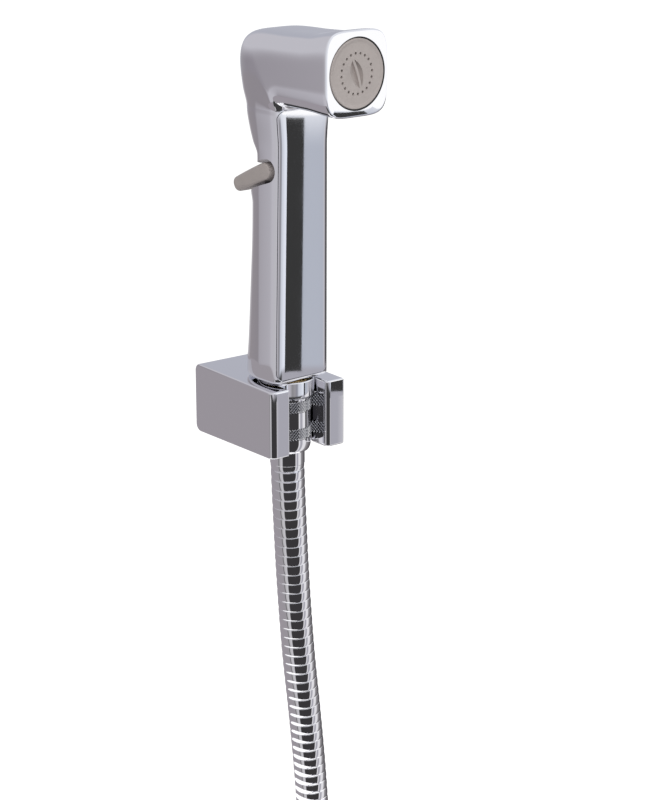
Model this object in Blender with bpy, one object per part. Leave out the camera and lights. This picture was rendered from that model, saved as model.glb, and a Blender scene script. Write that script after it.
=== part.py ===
"""Handheld bidet shower standing in its wall holder, with its metal hose.

Metres, +Z up. The origin is the middle of the holder's wall face, +Y runs into the wall and -Y out
into the room. The handset is modelled in its own frame, upright on the hose's axis, and stands in
the holder turned a few degrees about that axis.
"""

import math

import bmesh
import bpy
from mathutils import Matrix, Vector

MM = 0.001

# Clearances
GAP = 0.3 * MM
NUT_TO_HANDLE = 0.5 * MM

# Wall holder
HOLDER_WIDTH = 38.0 * MM
HOLDER_DEPTH = 56.0 * MM
HOLDER_FRONT_HEIGHT = 29.0 * MM
HOLDER_WALL_HEIGHT = 30.5 * MM
HOLDER_WALL = 3.6 * MM
HOLDER_EDGE_ROUND = 1.2 * MM
HOLDER_FRONT_ROUND = 0.9 * MM
HOLDER_REAR_ROUND = 2.6 * MM
HOLDER_POCKET_DEPTH = 23.0 * MM
SLOT_WIDTH = 19.4 * MM
NUT_FROM_WALL = 41.0 * MM

# Plate on the wall, inside the holder
PLATE_THICKNESS = 8.0 * MM
PLATE_SCREW_SPACING = 19.0 * MM
PLATE_SCREW_R = 2.3 * MM
PLATE_SINK_R = 4.4 * MM
GRUB_R = 2.0 * MM
GRUB_LENGTH = 6.4 * MM
GRUB_FROM_WALL = 4.4 * MM
GRUB_KEY_R = 1.15 * MM

# Cone nut on the handset
NUT_TOP_R = 11.7 * MM
NUT_BODY_R = 10.1 * MM
NUT_BAND_R = 10.4 * MM
NUT_FOOT_R = 8.0 * MM
NUT_BOTTOM_Z = -17.0 * MM
NUT_FLARE_Z = 7.2 * MM
NUT_FLARE_RISE = 1.4 * MM
NUT_CHAMFER = 0.5 * MM
NUT_BAND_HEIGHT = 5.2 * MM
NUT_UPPER_BAND_Z = 1.4 * MM
NUT_LOWER_BAND_Z = -10.6 * MM
THREAD_R = 10.2 * MM
NUT_SHOULDER_Z = 4.7 * MM

# Hose and its ends
HOSE_R = 7.25 * MM
HOSE_END_R = 6.2 * MM
FERRULE_R = 7.4 * MM
FERRULE_WALL = 0.7 * MM
FERRULE_BELOW_NUT = 6.0 * MM
TAIL_FLANGE_R = 9.1 * MM
TAIL_FLANGE = 1.7 * MM
TAIL_R = 5.9 * MM
TAIL_LENGTH = 20.7 * MM
TAIL_BORE_R = 3.2 * MM
WASHER_THICKNESS = 1.8 * MM

# Handle
HANDLE_BOTTOM_Z = 15.8 * MM
HANDLE_FOOT_ROUND = 1.5 * MM
HANDLE_FRONT_LOW = 10.6 * MM
HANDLE_FRONT_HIGH = 12.2 * MM
HANDLE_SIDE_LOW = 14.6 * MM
HANDLE_SIDE_HIGH = 13.5 * MM
HANDSET_YAW = math.radians(3.0)

# Head
HEAD_AXIS_Z = 147.1 * MM
HEAD_FRONT = 43.8 * MM
HEAD_BACK = 17.2 * MM
HEAD_SIDE = 16.2 * MM
HEAD_RIM_HALF_HEIGHT = 17.0 * MM
HEAD_TOP_Z = 161.4 * MM
HEAD_UNDER_Z = 131.5 * MM
HEAD_RIM_ROUND = 1.3 * MM
NECK_FILLET = 2.0 * MM

# Front panel
PANEL_TOP_Z = 129.6 * MM
PANEL_BOTTOM_Z = 17.6 * MM
PANEL_SIDE_MARGIN = 1.05 * MM
PANEL_THICKNESS = 1.3 * MM
PANEL_CORNER = 3.0 * MM

# Nozzle plate and its socket
SPRAY_R = 13.8 * MM
SPRAY_RING_GAP = 0.6 * MM
SPRAY_RECESS = 0.25 * MM
SPRAY_THICKNESS = 2.6 * MM
SPRAY_RIM = 0.9 * MM
SPRAY_SKIRT_R = 12.2 * MM
SPRAY_SKIRT_WALL = 1.2 * MM
SPRAY_SKIRT = 6.0 * MM
SPRAY_HOLES = 20
SPRAY_HOLE_R = 0.55 * MM
SPRAY_HOLE_CIRCLE_R = 7.95 * MM
GRIP_LENGTH = 12.6 * MM
GRIP_WIDTH = 7.6 * MM
GRIP_RIB = 1.5 * MM
GRIP_DEPTH = 1.6 * MM
GRIP_TILT = math.radians(20.0)
SOCKET_WALL = 1.3 * MM
SEAL_THICKNESS = 1.5 * MM
HEAD_DUCT_R = 3.0 * MM

# Trigger
TRIGGER_HALF_THICK = 4.0 * MM
TRIGGER_INNER_Y = -1.0 * MM
TRIGGER_INNER_Z = 104.2 * MM
TRIGGER_LENGTH = 21.4 * MM
TRIGGER_TIP_HALF = 3.0 * MM
TRIGGER_TIP_ROUND = 3.2 * MM
TRIGGER_DROOP = math.radians(22.5)
TRIGGER_INNER_SIDE = 12.6 * MM
TRIGGER_OUTER_SIDE = 11.4 * MM
TRIGGER_PIVOT_ALONG = 8.7 * MM
TRIGGER_SWING = math.radians(5.0)
PIN_R = 1.2 * MM
LUG_WALL = 1.2 * MM
LUG_INNER_X = 4.7 * MM
LUG_THICKNESS = 2.6 * MM
SLOT_END_Y = -4.6 * MM
SLOT_END_Z = 105.0 * MM
SLOT_END_R = 4.8 * MM

# Valve
VALVE_R = 7.6 * MM
VALVE_BELOW_PIVOT = 8.4 * MM
VALVE_HEIGHT = 28.5 * MM
VALVE_CHAMBER_R = 4.4 * MM
VALVE_SEAT_RISE = 11.0 * MM
VALVE_SEAT_R = 2.4 * MM
VALVE_SEAT_LIP = 0.9 * MM
STEM_R = 1.5 * MM
STEM_HEAD_R = 2.6 * MM
STEM_HEAD = 1.5 * MM
DISC_R = 3.7 * MM
DISC_THICKNESS = 2.0 * MM
SPRING_WIRE_R = 0.4 * MM
SPRING_COIL_R = 3.25 * MM
SPRING_TURNS = 4.5
GLAND_HEIGHT = 5.6 * MM
SEAL_WIRE_R = 0.5 * MM
OUTLET_Y = -7.7 * MM
OUTLET_R = 1.6 * MM
OUTLET_WALL = 0.5 * MM
RISER_R = 3.5 * MM
RISER_WALL = 0.9 * MM
SPIGOT_R = 8.2 * MM
SPIGOT_TOP_Z = 40.0 * MM
SPIGOT_BORE_R = 4.6 * MM

# Far end of the hose
COIL_R = 78.0 * MM
COIL_CENTRE_X = 14.5 * MM
COIL_FLOOR_Z = -322.0 * MM
HOSE_BEND_R = 95.0 * MM
FAR_END_START = 48.6 * MM
TAP_NUT_FLATS = 24.0 * MM
TAP_NUT_LENGTH = 14.0 * MM

# What follows from the sizes above
NUT_AXIS_Y = -NUT_FROM_WALL
NUT_TOP_Z = HANDLE_BOTTOM_Z - NUT_TO_HANDLE
THREAD_BORE_R = THREAD_R + GAP
FERRULE_BORE_R = FERRULE_R - FERRULE_WALL
NUT_BORE_R = FERRULE_R + GAP
FLANGE_BORE_R = TAIL_FLANGE_R + GAP
TAIL_TOP_Z = NUT_SHOULDER_Z + GAP + TAIL_FLANGE
NUT_THREAD_Z = TAIL_TOP_Z + GAP + WASHER_THICKNESS
SPIGOT_BOTTOM_Z = NUT_THREAD_Z + GAP
FERRULE_BOTTOM_Z = NUT_BOTTOM_Z - FERRULE_BELOW_NUT
TAIL_BOTTOM_Z = TAIL_TOP_Z - TAIL_FLANGE - TAIL_LENGTH
HOSE_TOP_Z = TAIL_BOTTOM_Z - GAP
LAYER_Z = COIL_FLOOR_Z + HOSE_R
UPPER_LAYER_Z = LAYER_Z + 2.0 * HOSE_R
COIL_CENTRE_Y = NUT_AXIS_Y - COIL_R
PANEL_RECESS = PANEL_THICKNESS + GAP
DROOP_ALONG = (math.cos(TRIGGER_DROOP), -math.sin(TRIGGER_DROOP))
DROOP_DOWN = (-math.sin(TRIGGER_DROOP), -math.cos(TRIGGER_DROOP))
PIVOT_Y = TRIGGER_INNER_Y + TRIGGER_PIVOT_ALONG * DROOP_ALONG[0]
PIVOT_Z = TRIGGER_INNER_Z + TRIGGER_PIVOT_ALONG * DROOP_ALONG[1]
STEM_HEAD_Z = TRIGGER_INNER_Z + TRIGGER_HALF_THICK + GAP
VALVE_TOP_Z = PIVOT_Z - VALVE_BELOW_PIVOT
VALVE_BOTTOM_Z = VALVE_TOP_Z - VALVE_HEIGHT
VALVE_SEAT_Z = VALVE_BOTTOM_Z + VALVE_SEAT_RISE
SPIGOT_BORE_TOP_Z = SPIGOT_TOP_Z - 6.0 * MM
RISER_BOTTOM_Z = SPIGOT_BORE_TOP_Z + GAP
RISER_SOCKET = 5.5 * MM
RISER_TOP_Z = VALVE_BOTTOM_Z + RISER_SOCKET - GAP
DISC_BOTTOM_Z = VALVE_SEAT_Z + GAP
STEM_FLANGE_Z = DISC_BOTTOM_Z + DISC_THICKNESS + GAP
STEM_FLANGE = 1.0 * MM
GLAND_BOTTOM_Z = VALVE_TOP_Z - GLAND_HEIGHT
SPRING_BOTTOM_Z = STEM_FLANGE_Z + STEM_FLANGE + GAP
SPRING_TOP_Z = GLAND_BOTTOM_Z - GAP
PLATE_FACE_Y = -HEAD_FRONT + SPRAY_RECESS
PLATE_BACK_Y = PLATE_FACE_Y + SPRAY_THICKNESS
SKIRT_END_Y = PLATE_BACK_Y + SPRAY_SKIRT
SOCKET_FRONT_Y = PLATE_BACK_Y + GAP
SOCKET_FLOOR_Y = SKIRT_END_Y + SEAL_THICKNESS + 2.0 * GAP
SOCKET_BACK_Y = SOCKET_FLOOR_Y + SOCKET_WALL
SOCKET_BORE_R = SPRAY_SKIRT_R + GAP
SOCKET_R = SOCKET_BORE_R + SOCKET_WALL
OUTLET_TOP_Z = HEAD_AXIS_Z - 1.4 * HEAD_DUCT_R
OUTLET_BORE_R = OUTLET_R + GAP
OUTLET_GROOVE_Z = VALVE_SEAT_Z + 9.0 * MM
STEM_TRAVEL = (
    TRIGGER_PIVOT_ALONG * math.sin(TRIGGER_DROOP + TRIGGER_SWING)
    - TRIGGER_PIVOT_ALONG * math.sin(TRIGGER_DROOP)
)
WEB_BACK_Y = TRIGGER_INNER_Y - TRIGGER_HALF_THICK - 1.5 * GAP
WEB_SIDE = 7.0 * MM
LUG_R = PIN_R + GAP + LUG_WALL
FAR_FERRULE_END = TAIL_LENGTH + 1.4 * MM
FAR_FLANGE = FAR_FERRULE_END + GAP
FAR_SEAT = FAR_FLANGE - GAP
FAR_WASHER = FAR_FLANGE + TAIL_FLANGE + GAP
FAR_MOUTH = FAR_SEAT + 0.72 * TAP_NUT_LENGTH
FAR_Z = COIL_FLOOR_Z + 0.5 * TAP_NUT_FLATS / math.cos(math.radians(30.0)) + 0.1 * MM


def material(name, colour, metallic, roughness):
    mat = bpy.data.materials.new(name)
    mat.use_nodes = True
    shader = mat.node_tree.nodes["Principled BSDF"]
    shader.inputs["Base Color"].default_value = (*colour, 1.0)
    shader.inputs["Metallic"].default_value = metallic
    shader.inputs["Roughness"].default_value = roughness
    return mat


# Solids from profiles
def finish(name, bm, mat, parent=None, smooth=True, cutter=False):
    """Turn a bmesh into a named object, faces out, smooth but for its sharp edges."""
    bmesh.ops.recalc_face_normals(bm, faces=bm.faces)
    mesh = bpy.data.meshes.new(name)
    bm.to_mesh(mesh)
    bm.free()
    if smooth:
        mesh.shade_smooth()
        mesh.set_sharp_from_angle(angle=math.radians(35.0))
    obj = bpy.data.objects.new(name, mesh)
    bpy.context.scene.collection.objects.link(obj)
    obj.parent = parent
    if mat is not None:
        mesh.materials.append(mat)
    if cutter:
        obj.hide_render = True
        obj.display_type = "WIRE"
    return obj


def add_rings(bm, rings, capped=True, looped=False):
    """Join rings of points, each with as many points, into one skin."""
    loops = [[bm.verts.new(p) for p in ring] for ring in rings]
    pairs = list(zip(loops, loops[1:]))
    if looped:
        pairs.append((loops[-1], loops[0]))
    for low, high in pairs:
        count = len(low)
        for i in range(count):
            j = (i + 1) % count
            bm.faces.new((low[i], low[j], high[j], high[i]))
    if capped and not looped:
        bm.faces.new(loops[0])
        bm.faces.new(list(reversed(loops[-1])))


def add_lathe(bm, profile, segments, place):
    """Turn a closed (radius, height) profile about the local Z axis; radius 0 lies on the axis."""
    columns = []
    for radius, height in profile:
        if radius < 1e-9:
            columns.append([bm.verts.new(place @ Vector((0.0, 0.0, height)))])
            continue
        ring = []
        for i in range(segments):
            turn = 2.0 * math.pi * i / segments
            spot = Vector((radius * math.cos(turn), radius * math.sin(turn), height))
            ring.append(bm.verts.new(place @ spot))
        columns.append(ring)
    for k, low in enumerate(columns):
        high = columns[(k + 1) % len(columns)]
        if len(low) == 1 and len(high) == 1:
            continue
        for i in range(segments):
            j = (i + 1) % segments
            if len(low) == 1:
                bm.faces.new((low[0], high[j], high[i]))
            elif len(high) == 1:
                bm.faces.new((low[i], low[j], high[0]))
            else:
                bm.faces.new((low[i], low[j], high[j], high[i]))


def lathe(name, profile, mat, parent=None, segments=48, place=None, cutter=False):
    bm = bmesh.new()
    add_lathe(bm, profile, segments, place or Matrix.Identity(4))
    return finish(name, bm, mat, parent, cutter=cutter)


def rod(radius, low, high):
    """Profile of a plain rod from one height to another."""
    return [(0.0, low), (radius, low), (radius, high), (0.0, high)]


def tube(outer, inner, low, high):
    """Profile of a plain tube from one height to another."""
    return [(inner, low), (outer, low), (outer, high), (inner, high)]


def stepped(low, steps):
    """Profile of a stepped bore from a height up through (radius, end) steps."""
    out = [(0.0, low)]
    for radius, high in steps:
        out.append((radius, low))
        out.append((radius, high))
        low = high
    out.append((0.0, low))
    return out


def ring_profile(ring_r, wire_r, height, points=8):
    """Round section of an O-ring."""
    out = []
    for i in range(points):
        turn = 2.0 * math.pi * i / points
        out.append((ring_r + wire_r * math.cos(turn), height + wire_r * math.sin(turn)))
    return out


def prism(name, outline, low, high, mat=None, parent=None, axis="X", cutter=False):
    """Push an outline from low to high along an axis. The outline's pairs are the other two axes."""
    order = {
        "X": lambda a, b, t: Vector((t, a, b)),
        "Y": lambda a, b, t: Vector((a, t, b)),
        "Z": lambda a, b, t: Vector((a, b, t)),
    }[axis]
    bm = bmesh.new()
    add_rings(bm, [[order(a, b, t) for a, b in outline] for t in (low, high)])
    return finish(name, bm, mat, parent, cutter=cutter)


def box(name, low, high, parent=None):
    outline = [(low[0], low[1]), (high[0], low[1]), (high[0], high[1]), (low[0], high[1])]
    return prism(name, outline, low[2], high[2], parent=parent, axis="Z", cutter=True)


def along(origin, axis):
    """Placement that carries the local Z axis to a direction."""
    turn = Vector((0.0, 0.0, 1.0)).rotation_difference(Vector(axis)).to_matrix().to_4x4()
    return Matrix.Translation(Vector(origin)) @ turn


def boolean(target, tool, operation="DIFFERENCE"):
    step = target.modifiers.new(tool.name, "BOOLEAN")
    step.operation = operation
    step.solver = "EXACT"
    step.object = tool
    return target


def cut_rod(target, name, radius, origin, axis, low, high, segments=32):
    tool = lathe(
        name, rod(radius, low, high), None, target.parent, segments, along(origin, axis), cutter=True
    )
    return boolean(target, tool)


def rounded_rect(half_x, half_z, corner, steps=5):
    """Points of a rounded rectangle, counter-clockwise."""
    out = []
    for quarter in range(4):
        sx = (1, -1, -1, 1)[quarter]
        sz = (1, 1, -1, -1)[quarter]
        for i in range(steps + 1):
            turn = 0.5 * math.pi * (quarter + i / steps)
            x = sx * (half_x - corner) + corner * math.cos(turn)
            z = sz * (half_z - corner) + corner * math.sin(turn)
            out.append((x, z))
    return out


def smooth_step(value):
    t = min(1.0, max(0.0, value))
    return t * t * (3.0 - 2.0 * t)


def blend(low, high, share):
    return low + (high - low) * share


def signed_power(value, power):
    return math.copysign(abs(value) ** power, value)


# The handset's outer form
BACK_STATIONS = [
    (0.0, 19.8 * MM),
    (0.14, 18.0 * MM),
    (0.36, 15.7 * MM),
    (0.55, 13.9 * MM),
    (0.652, 13.6 * MM),
    (0.697, 15.2 * MM),
    (0.735, 13.0 * MM),
    (0.785, 7.4 * MM),
    (0.835, 7.2 * MM),
    (0.877, 12.0 * MM),
    (0.93, 13.2 * MM),
    (1.0, 15.3 * MM),
]
FAN_Y = -(HANDLE_FRONT_HIGH + NECK_FILLET)
FAN_Z = HEAD_UNDER_Z - NECK_FILLET
RING_POINTS = 40


def hermite(stations, share):
    """Smooth curve through stations, flat where they turn."""
    last = len(stations) - 1
    slopes = []
    for i in range(last + 1):
        if i in (0, last):
            slopes.append(0.0)
            continue
        before = (stations[i][1] - stations[i - 1][1]) / (stations[i][0] - stations[i - 1][0])
        after = (stations[i + 1][1] - stations[i][1]) / (stations[i + 1][0] - stations[i][0])
        slopes.append(0.0 if before * after <= 0.0 else 2.0 * before * after / (before + after))
    for i in range(last):
        (t0, v0), (t1, v1) = stations[i], stations[i + 1]
        if share <= t1 or i == last - 1:
            span = t1 - t0
            t = (share - t0) / span
            a = v0 * (2 * t**3 - 3 * t**2 + 1) + v1 * (3 * t**2 - 2 * t**3)
            return a + span * (slopes[i] * (t**3 - 2 * t**2 + t) + slopes[i + 1] * (t**3 - t**2))
    return stations[-1][1]


def handle_share(z):
    return (z - HANDLE_BOTTOM_Z) / (FAN_Z - HANDLE_BOTTOM_Z)


def front_depth(z):
    return blend(HANDLE_FRONT_LOW, HANDLE_FRONT_HIGH, handle_share(z))


def half_width(z):
    share = handle_share(z)
    wide = blend(HANDLE_SIDE_LOW, HANDLE_SIDE_HIGH, share)
    return wide + 1.0 * MM * smooth_step((share - 0.86) / 0.14)


def section(inner, outer, middle, side, inner_power, outer_power):
    """Closed section as (across, along) pairs: two halves that meet at the widest line."""
    out = []
    for i in range(RING_POINTS):
        turn = 2.0 * math.pi * (i + 0.5) / RING_POINTS
        c = math.cos(turn)
        s = math.sin(turn)
        power = outer_power if s > 0.0 else inner_power
        reach = (outer - middle) if s > 0.0 else (middle - inner)
        across = side * signed_power(c, 2.0 / power)
        out.append((across, middle + reach * signed_power(s, 2.0 / power)))
    return out


def handle_ring(z, inset=0.0):
    share = handle_share(z)
    pairs = section(
        -front_depth(z) + inset,
        hermite(BACK_STATIONS, share) - inset,
        0.0,
        half_width(z) - inset,
        9.0,
        2.0 + 0.4 * smooth_step((share - 0.8) / 0.2),
    )
    return [Vector((x, y, z)) for x, y in pairs]


def fan_ring(turn):
    """Ring that stands out from the neck's fillet, turned from level up to upright."""
    share = turn / (0.5 * math.pi)
    ease = smooth_step(share)
    reach_y = HEAD_BACK - FAN_Y
    reach_z = HEAD_TOP_Z - FAN_Z
    c = max(math.cos(turn), 0.0)
    s = math.sin(turn)
    reach = ((c / reach_y) ** 5.0 + (s / reach_z) ** 5.0) ** -0.2
    drop = 1.0 - smooth_step(reach * s / (0.28 * reach_z))
    reach -= (HEAD_BACK - BACK_STATIONS[-1][1]) * drop
    pairs = section(
        NECK_FILLET,
        reach,
        blend(-FAN_Y, 0.5 * (reach_z + NECK_FILLET), ease),
        blend(half_width(FAN_Z), HEAD_SIDE, smooth_step(share * 1.6)),
        blend(9.0, 4.6, smooth_step(share * 1.4)),
        blend(2.4, 4.6, smooth_step(share * 1.25)),
    )
    return [Vector((x, FAN_Y + c * r, FAN_Z + s * r)) for x, r in pairs]


def head_ring(y, inset=0.0):
    share = (FAN_Y - y) / (FAN_Y + HEAD_FRONT)
    flare = smooth_step((share - 0.45) / 0.55)
    top = blend(HEAD_TOP_Z, HEAD_TOP_Z + 1.0 * MM, share)
    top = blend(top, HEAD_AXIS_Z + HEAD_RIM_HALF_HEIGHT, flare)
    under = blend(HEAD_UNDER_Z, HEAD_UNDER_Z - 0.7 * MM, share)
    under = blend(under, HEAD_AXIS_Z - HEAD_RIM_HALF_HEIGHT, flare)
    middle = 0.5 * (top + under)
    pairs = section(under + inset, top - inset, middle, HEAD_SIDE - inset, 4.6, 4.6)
    return [Vector((x, y, z)) for x, z in pairs]


def shell_rings():
    rings = []
    for i in range(4):
        turn = 0.5 * math.pi * i / 3
        inset = HANDLE_FOOT_ROUND * (1.0 - math.sin(turn))
        rings.append(handle_ring(HANDLE_BOTTOM_Z + HANDLE_FOOT_ROUND * (1.0 - math.cos(turn)), inset))
    low = HANDLE_BOTTOM_Z + HANDLE_FOOT_ROUND
    for i in range(1, 18):
        rings.append(handle_ring(blend(low, FAN_Z, (i / 17.0) ** 0.6)))
    for i in range(1, 9):
        rings.append(fan_ring(0.5 * math.pi * i / 9.0))
    edge = -HEAD_FRONT + HEAD_RIM_ROUND
    for i in range(6):
        rings.append(head_ring(blend(FAN_Y, edge, i / 5.0)))
    for i in range(1, 4):
        turn = 0.5 * math.pi * i / 3
        inset = HEAD_RIM_ROUND * (1.0 - math.cos(turn))
        rings.append(head_ring(edge - HEAD_RIM_ROUND * math.sin(turn), inset))
    return rings


def front_line(z, x):
    """Y of the handle's front skin at a height and a distance from its middle."""
    share = min(0.999, abs(x) / half_width(z))
    return -front_depth(z) * (1.0 - share**9.0) ** (1.0 / 9.0)


def panel_loft(name, grow, outside, depth, mat, parent, cutter=False):
    """The panel's form: its outline in front view, its face on the handle's skin or outside it."""
    corner = PANEL_CORNER + grow
    low = PANEL_BOTTOM_Z - grow
    high = PANEL_TOP_Z + grow
    rows = [(low + corner * (1.0 - math.cos(0.1 * math.pi * i)), math.sin(0.1 * math.pi * i))
            for i in range(6)]
    rings = []
    steps = list(rows)
    for i in range(1, 8):
        steps.append((blend(low + corner, high - corner, i / 8.0), 1.0))
    for z, s in reversed(rows):
        steps.append((high - (z - low), s))
    for z, s in steps:
        side = half_width(z) - PANEL_SIDE_MARGIN + grow - corner * (1.0 - s)
        ring = []
        for i in range(11):
            x = side * math.sin(0.5 * math.pi * (-1.0 + i / 5.0))
            ring.append(Vector((x, front_line(z, x) if outside is None else outside, z)))
        back = -front_depth(z) + depth
        for i in range(3):
            ring.append(Vector((side * (1.0 - i), back, z)))
        rings.append(ring)
    bm = bmesh.new()
    add_rings(bm, rings)
    return finish(name, bm, mat, parent, cutter=cutter)


def on_trigger(length, across):
    """(y, z) of a spot on the lever: length out along it and across downward from its middle."""
    y = TRIGGER_INNER_Y + length * DROOP_ALONG[0] + across * DROOP_DOWN[0]
    z = TRIGGER_INNER_Z + length * DROOP_ALONG[1] + across * DROOP_DOWN[1]
    return (y, z)


def slot_outline():
    """Side view of the lever's slot: a round inner end, wider where the lever sweeps."""
    out = []
    for i in range(13):
        turn = math.radians(90.0 + 157.5 * i / 12.0)
        y = SLOT_END_Y + SLOT_END_R * math.cos(turn)
        out.append((y, SLOT_END_Z + SLOT_END_R * math.sin(turn)))
    sweep = math.sin(TRIGGER_SWING)
    reach = TRIGGER_HALF_THICK + 2.0 * GAP
    far = 2.0 * HEAD_BACK
    out.append(on_trigger(TRIGGER_PIVOT_ALONG, reach))
    out.append(on_trigger(far, reach + (far - TRIGGER_PIVOT_ALONG) * sweep))
    out.append(on_trigger(far, -(TRIGGER_HALF_THICK + GAP)))
    out.append(on_trigger(TRIGGER_PIVOT_ALONG, -(TRIGGER_HALF_THICK + GAP)))
    out.append(on_trigger(0.0, -(TRIGGER_HALF_THICK + GAP + TRIGGER_PIVOT_ALONG * sweep)))
    return out


def lug_outline(radius, foot, depth):
    """Side view of a pivot lug: round about the pin, with a neck down from it."""
    out = []
    for i in range(15):
        turn = math.radians(-25.0 + 230.0 * i / 14.0)
        out.append((PIVOT_Y + radius * math.cos(turn), PIVOT_Z + radius * math.sin(turn)))
    out.append((PIVOT_Y - foot, PIVOT_Z - depth))
    out.append((PIVOT_Y + foot, PIVOT_Z - depth))
    return out


def build_shell(frame, mat):
    bm = bmesh.new()
    add_rings(bm, shell_rings())
    shell = finish("handset_shell", bm, mat, frame)

    wide = 2.0 * HANDLE_SIDE_LOW
    slot = prism("trigger_slot", slot_outline(), -wide, wide, parent=frame, cutter=True)
    deep = -2.0 * HANDLE_FRONT_HIGH
    web = box(
        "slot_web",
        (-WEB_SIDE, deep, SLOT_END_Z - 3.0 * SLOT_END_R),
        (WEB_SIDE, WEB_BACK_Y, SLOT_END_Z + 3.0 * SLOT_END_R),
        frame,
    )
    boolean(slot, web)
    boolean(shell, slot)
    for side, label in ((-1.0, "left"), (1.0, "right")):
        span = sorted((side * LUG_INNER_X, side * (LUG_INNER_X + LUG_THICKNESS)))
        outline = lug_outline(LUG_R, 0.75 * LUG_R, PIVOT_Z - VALVE_TOP_Z + 1.0 * MM)
        lug = prism("lug_" + label, outline, span[0], span[1], parent=frame, cutter=True)
        boolean(shell, lug, "UNION")
    up = (0.0, 0.0, 1.0)
    back = (0.0, 1.0, 0.0)
    pin_at = (0.0, PIVOT_Y, PIVOT_Z)
    cut_rod(shell, "pin_bore", PIN_R + GAP, pin_at, (1, 0, 0), -wide, wide, 16)
    head_top = STEM_HEAD_Z + STEM_HEAD + STEM_TRAVEL + 2.0 * GAP
    way = stepped(0.0, [
        (SPIGOT_R + GAP, SPIGOT_TOP_Z + 2.0 * MM),
        (VALVE_R + GAP, VALVE_TOP_Z + GAP),
        (STEM_R + 1.5 * GAP, SLOT_END_Z),
        (STEM_HEAD_R + 1.5 * GAP, head_top),
    ])
    boolean(shell, lathe("valve_way", way, None, frame, 32, cutter=True))
    outlet = (0.0, OUTLET_Y, 0.0)
    cut_rod(shell, "outlet_bore", OUTLET_BORE_R, outlet, up, OUTLET_GROOVE_Z, HEAD_AXIS_Z, 20)
    way = stepped(-2.0 * HEAD_FRONT, [
        (SPRAY_R + SPRAY_RING_GAP, PLATE_BACK_Y + GAP),
        (SOCKET_R + GAP, SOCKET_BACK_Y + GAP),
        (HEAD_DUCT_R, OUTLET_Y + OUTLET_BORE_R + 1.0 * MM),
    ])
    middle = (0.0, 0.0, HEAD_AXIS_Z)
    boolean(shell, lathe("head_way", way, None, frame, 48, along(middle, back), cutter=True))
    recess = panel_loft("panel_recess", GAP, deep, PANEL_RECESS, None, frame, cutter=True)
    boolean(shell, recess)
    return shell


def build_plate(frame, mat):
    """Nozzle plate: raised rim, threaded skirt behind, ring of jets and a finger grip."""
    back = (0.0, 1.0, 0.0)
    place = along((0.0, PLATE_FACE_Y, HEAD_AXIS_Z), back)
    inner_r = SPRAY_SKIRT_R - SPRAY_SKIRT_WALL
    rise = 0.35 * MM
    deep = SPRAY_THICKNESS + SPRAY_SKIRT
    inside = 0.5 * (0.5 * GRIP_LENGTH + SPRAY_HOLE_CIRCLE_R - SPRAY_HOLE_R)
    profile = [
        (0.0, 0.0),
        (inside, 0.0),
        (SPRAY_R - 1.8 * SPRAY_RIM, 0.0),
        (SPRAY_R - 1.4 * SPRAY_RIM, -rise),
        (SPRAY_R - 0.5 * SPRAY_RIM, -rise),
        (SPRAY_R, rise),
        (SPRAY_R, SPRAY_THICKNESS),
        (SPRAY_SKIRT_R, SPRAY_THICKNESS),
        (SPRAY_SKIRT_R, deep),
        (inner_r, deep),
        (inner_r, SPRAY_THICKNESS),
        (inside, SPRAY_THICKNESS),
        (0.0, SPRAY_THICKNESS),
    ]
    plate = lathe("spray_plate", profile, mat, frame, 2 * SPRAY_HOLES, place)
    bm = bmesh.new()
    for i in range(SPRAY_HOLES):
        turn = 2.0 * math.pi * (i + 0.25) / SPRAY_HOLES
        x = SPRAY_HOLE_CIRCLE_R * math.cos(turn)
        z = HEAD_AXIS_Z + SPRAY_HOLE_CIRCLE_R * math.sin(turn)
        jet = rod(SPRAY_HOLE_R, -SPRAY_THICKNESS, 2.0 * SPRAY_THICKNESS)
        add_lathe(bm, jet, 8, along((x, PLATE_FACE_Y, z), back))
    boolean(plate, finish("spray_jets", bm, None, frame, cutter=True))
    for side, label in ((-1.0, "left"), (1.0, "right")):
        outline = []
        tip = math.sqrt(1.0 - GRIP_RIB / GRIP_WIDTH)
        for i in range(13):
            share = tip * (-1.0 + i / 6.0)
            across = side * 0.5 * GRIP_WIDTH * (1.0 - share * share)
            outline.append((across, 0.5 * GRIP_LENGTH * share))
        c = math.cos(GRIP_TILT)
        s = math.sin(GRIP_TILT)
        turned = [(a * c - b * s, HEAD_AXIS_Z + a * s + b * c) for a, b in outline]
        low = PLATE_FACE_Y - SPRAY_THICKNESS
        high = PLATE_FACE_Y + GRIP_DEPTH
        hollow = prism("grip_" + label, turned, low, high, parent=frame, axis="Y", cutter=True)
        boolean(plate, hollow)
    return plate


def trigger_taper(length):
    return smooth_step((length - 0.25 * TRIGGER_LENGTH) / (0.75 * TRIGGER_LENGTH))


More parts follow.
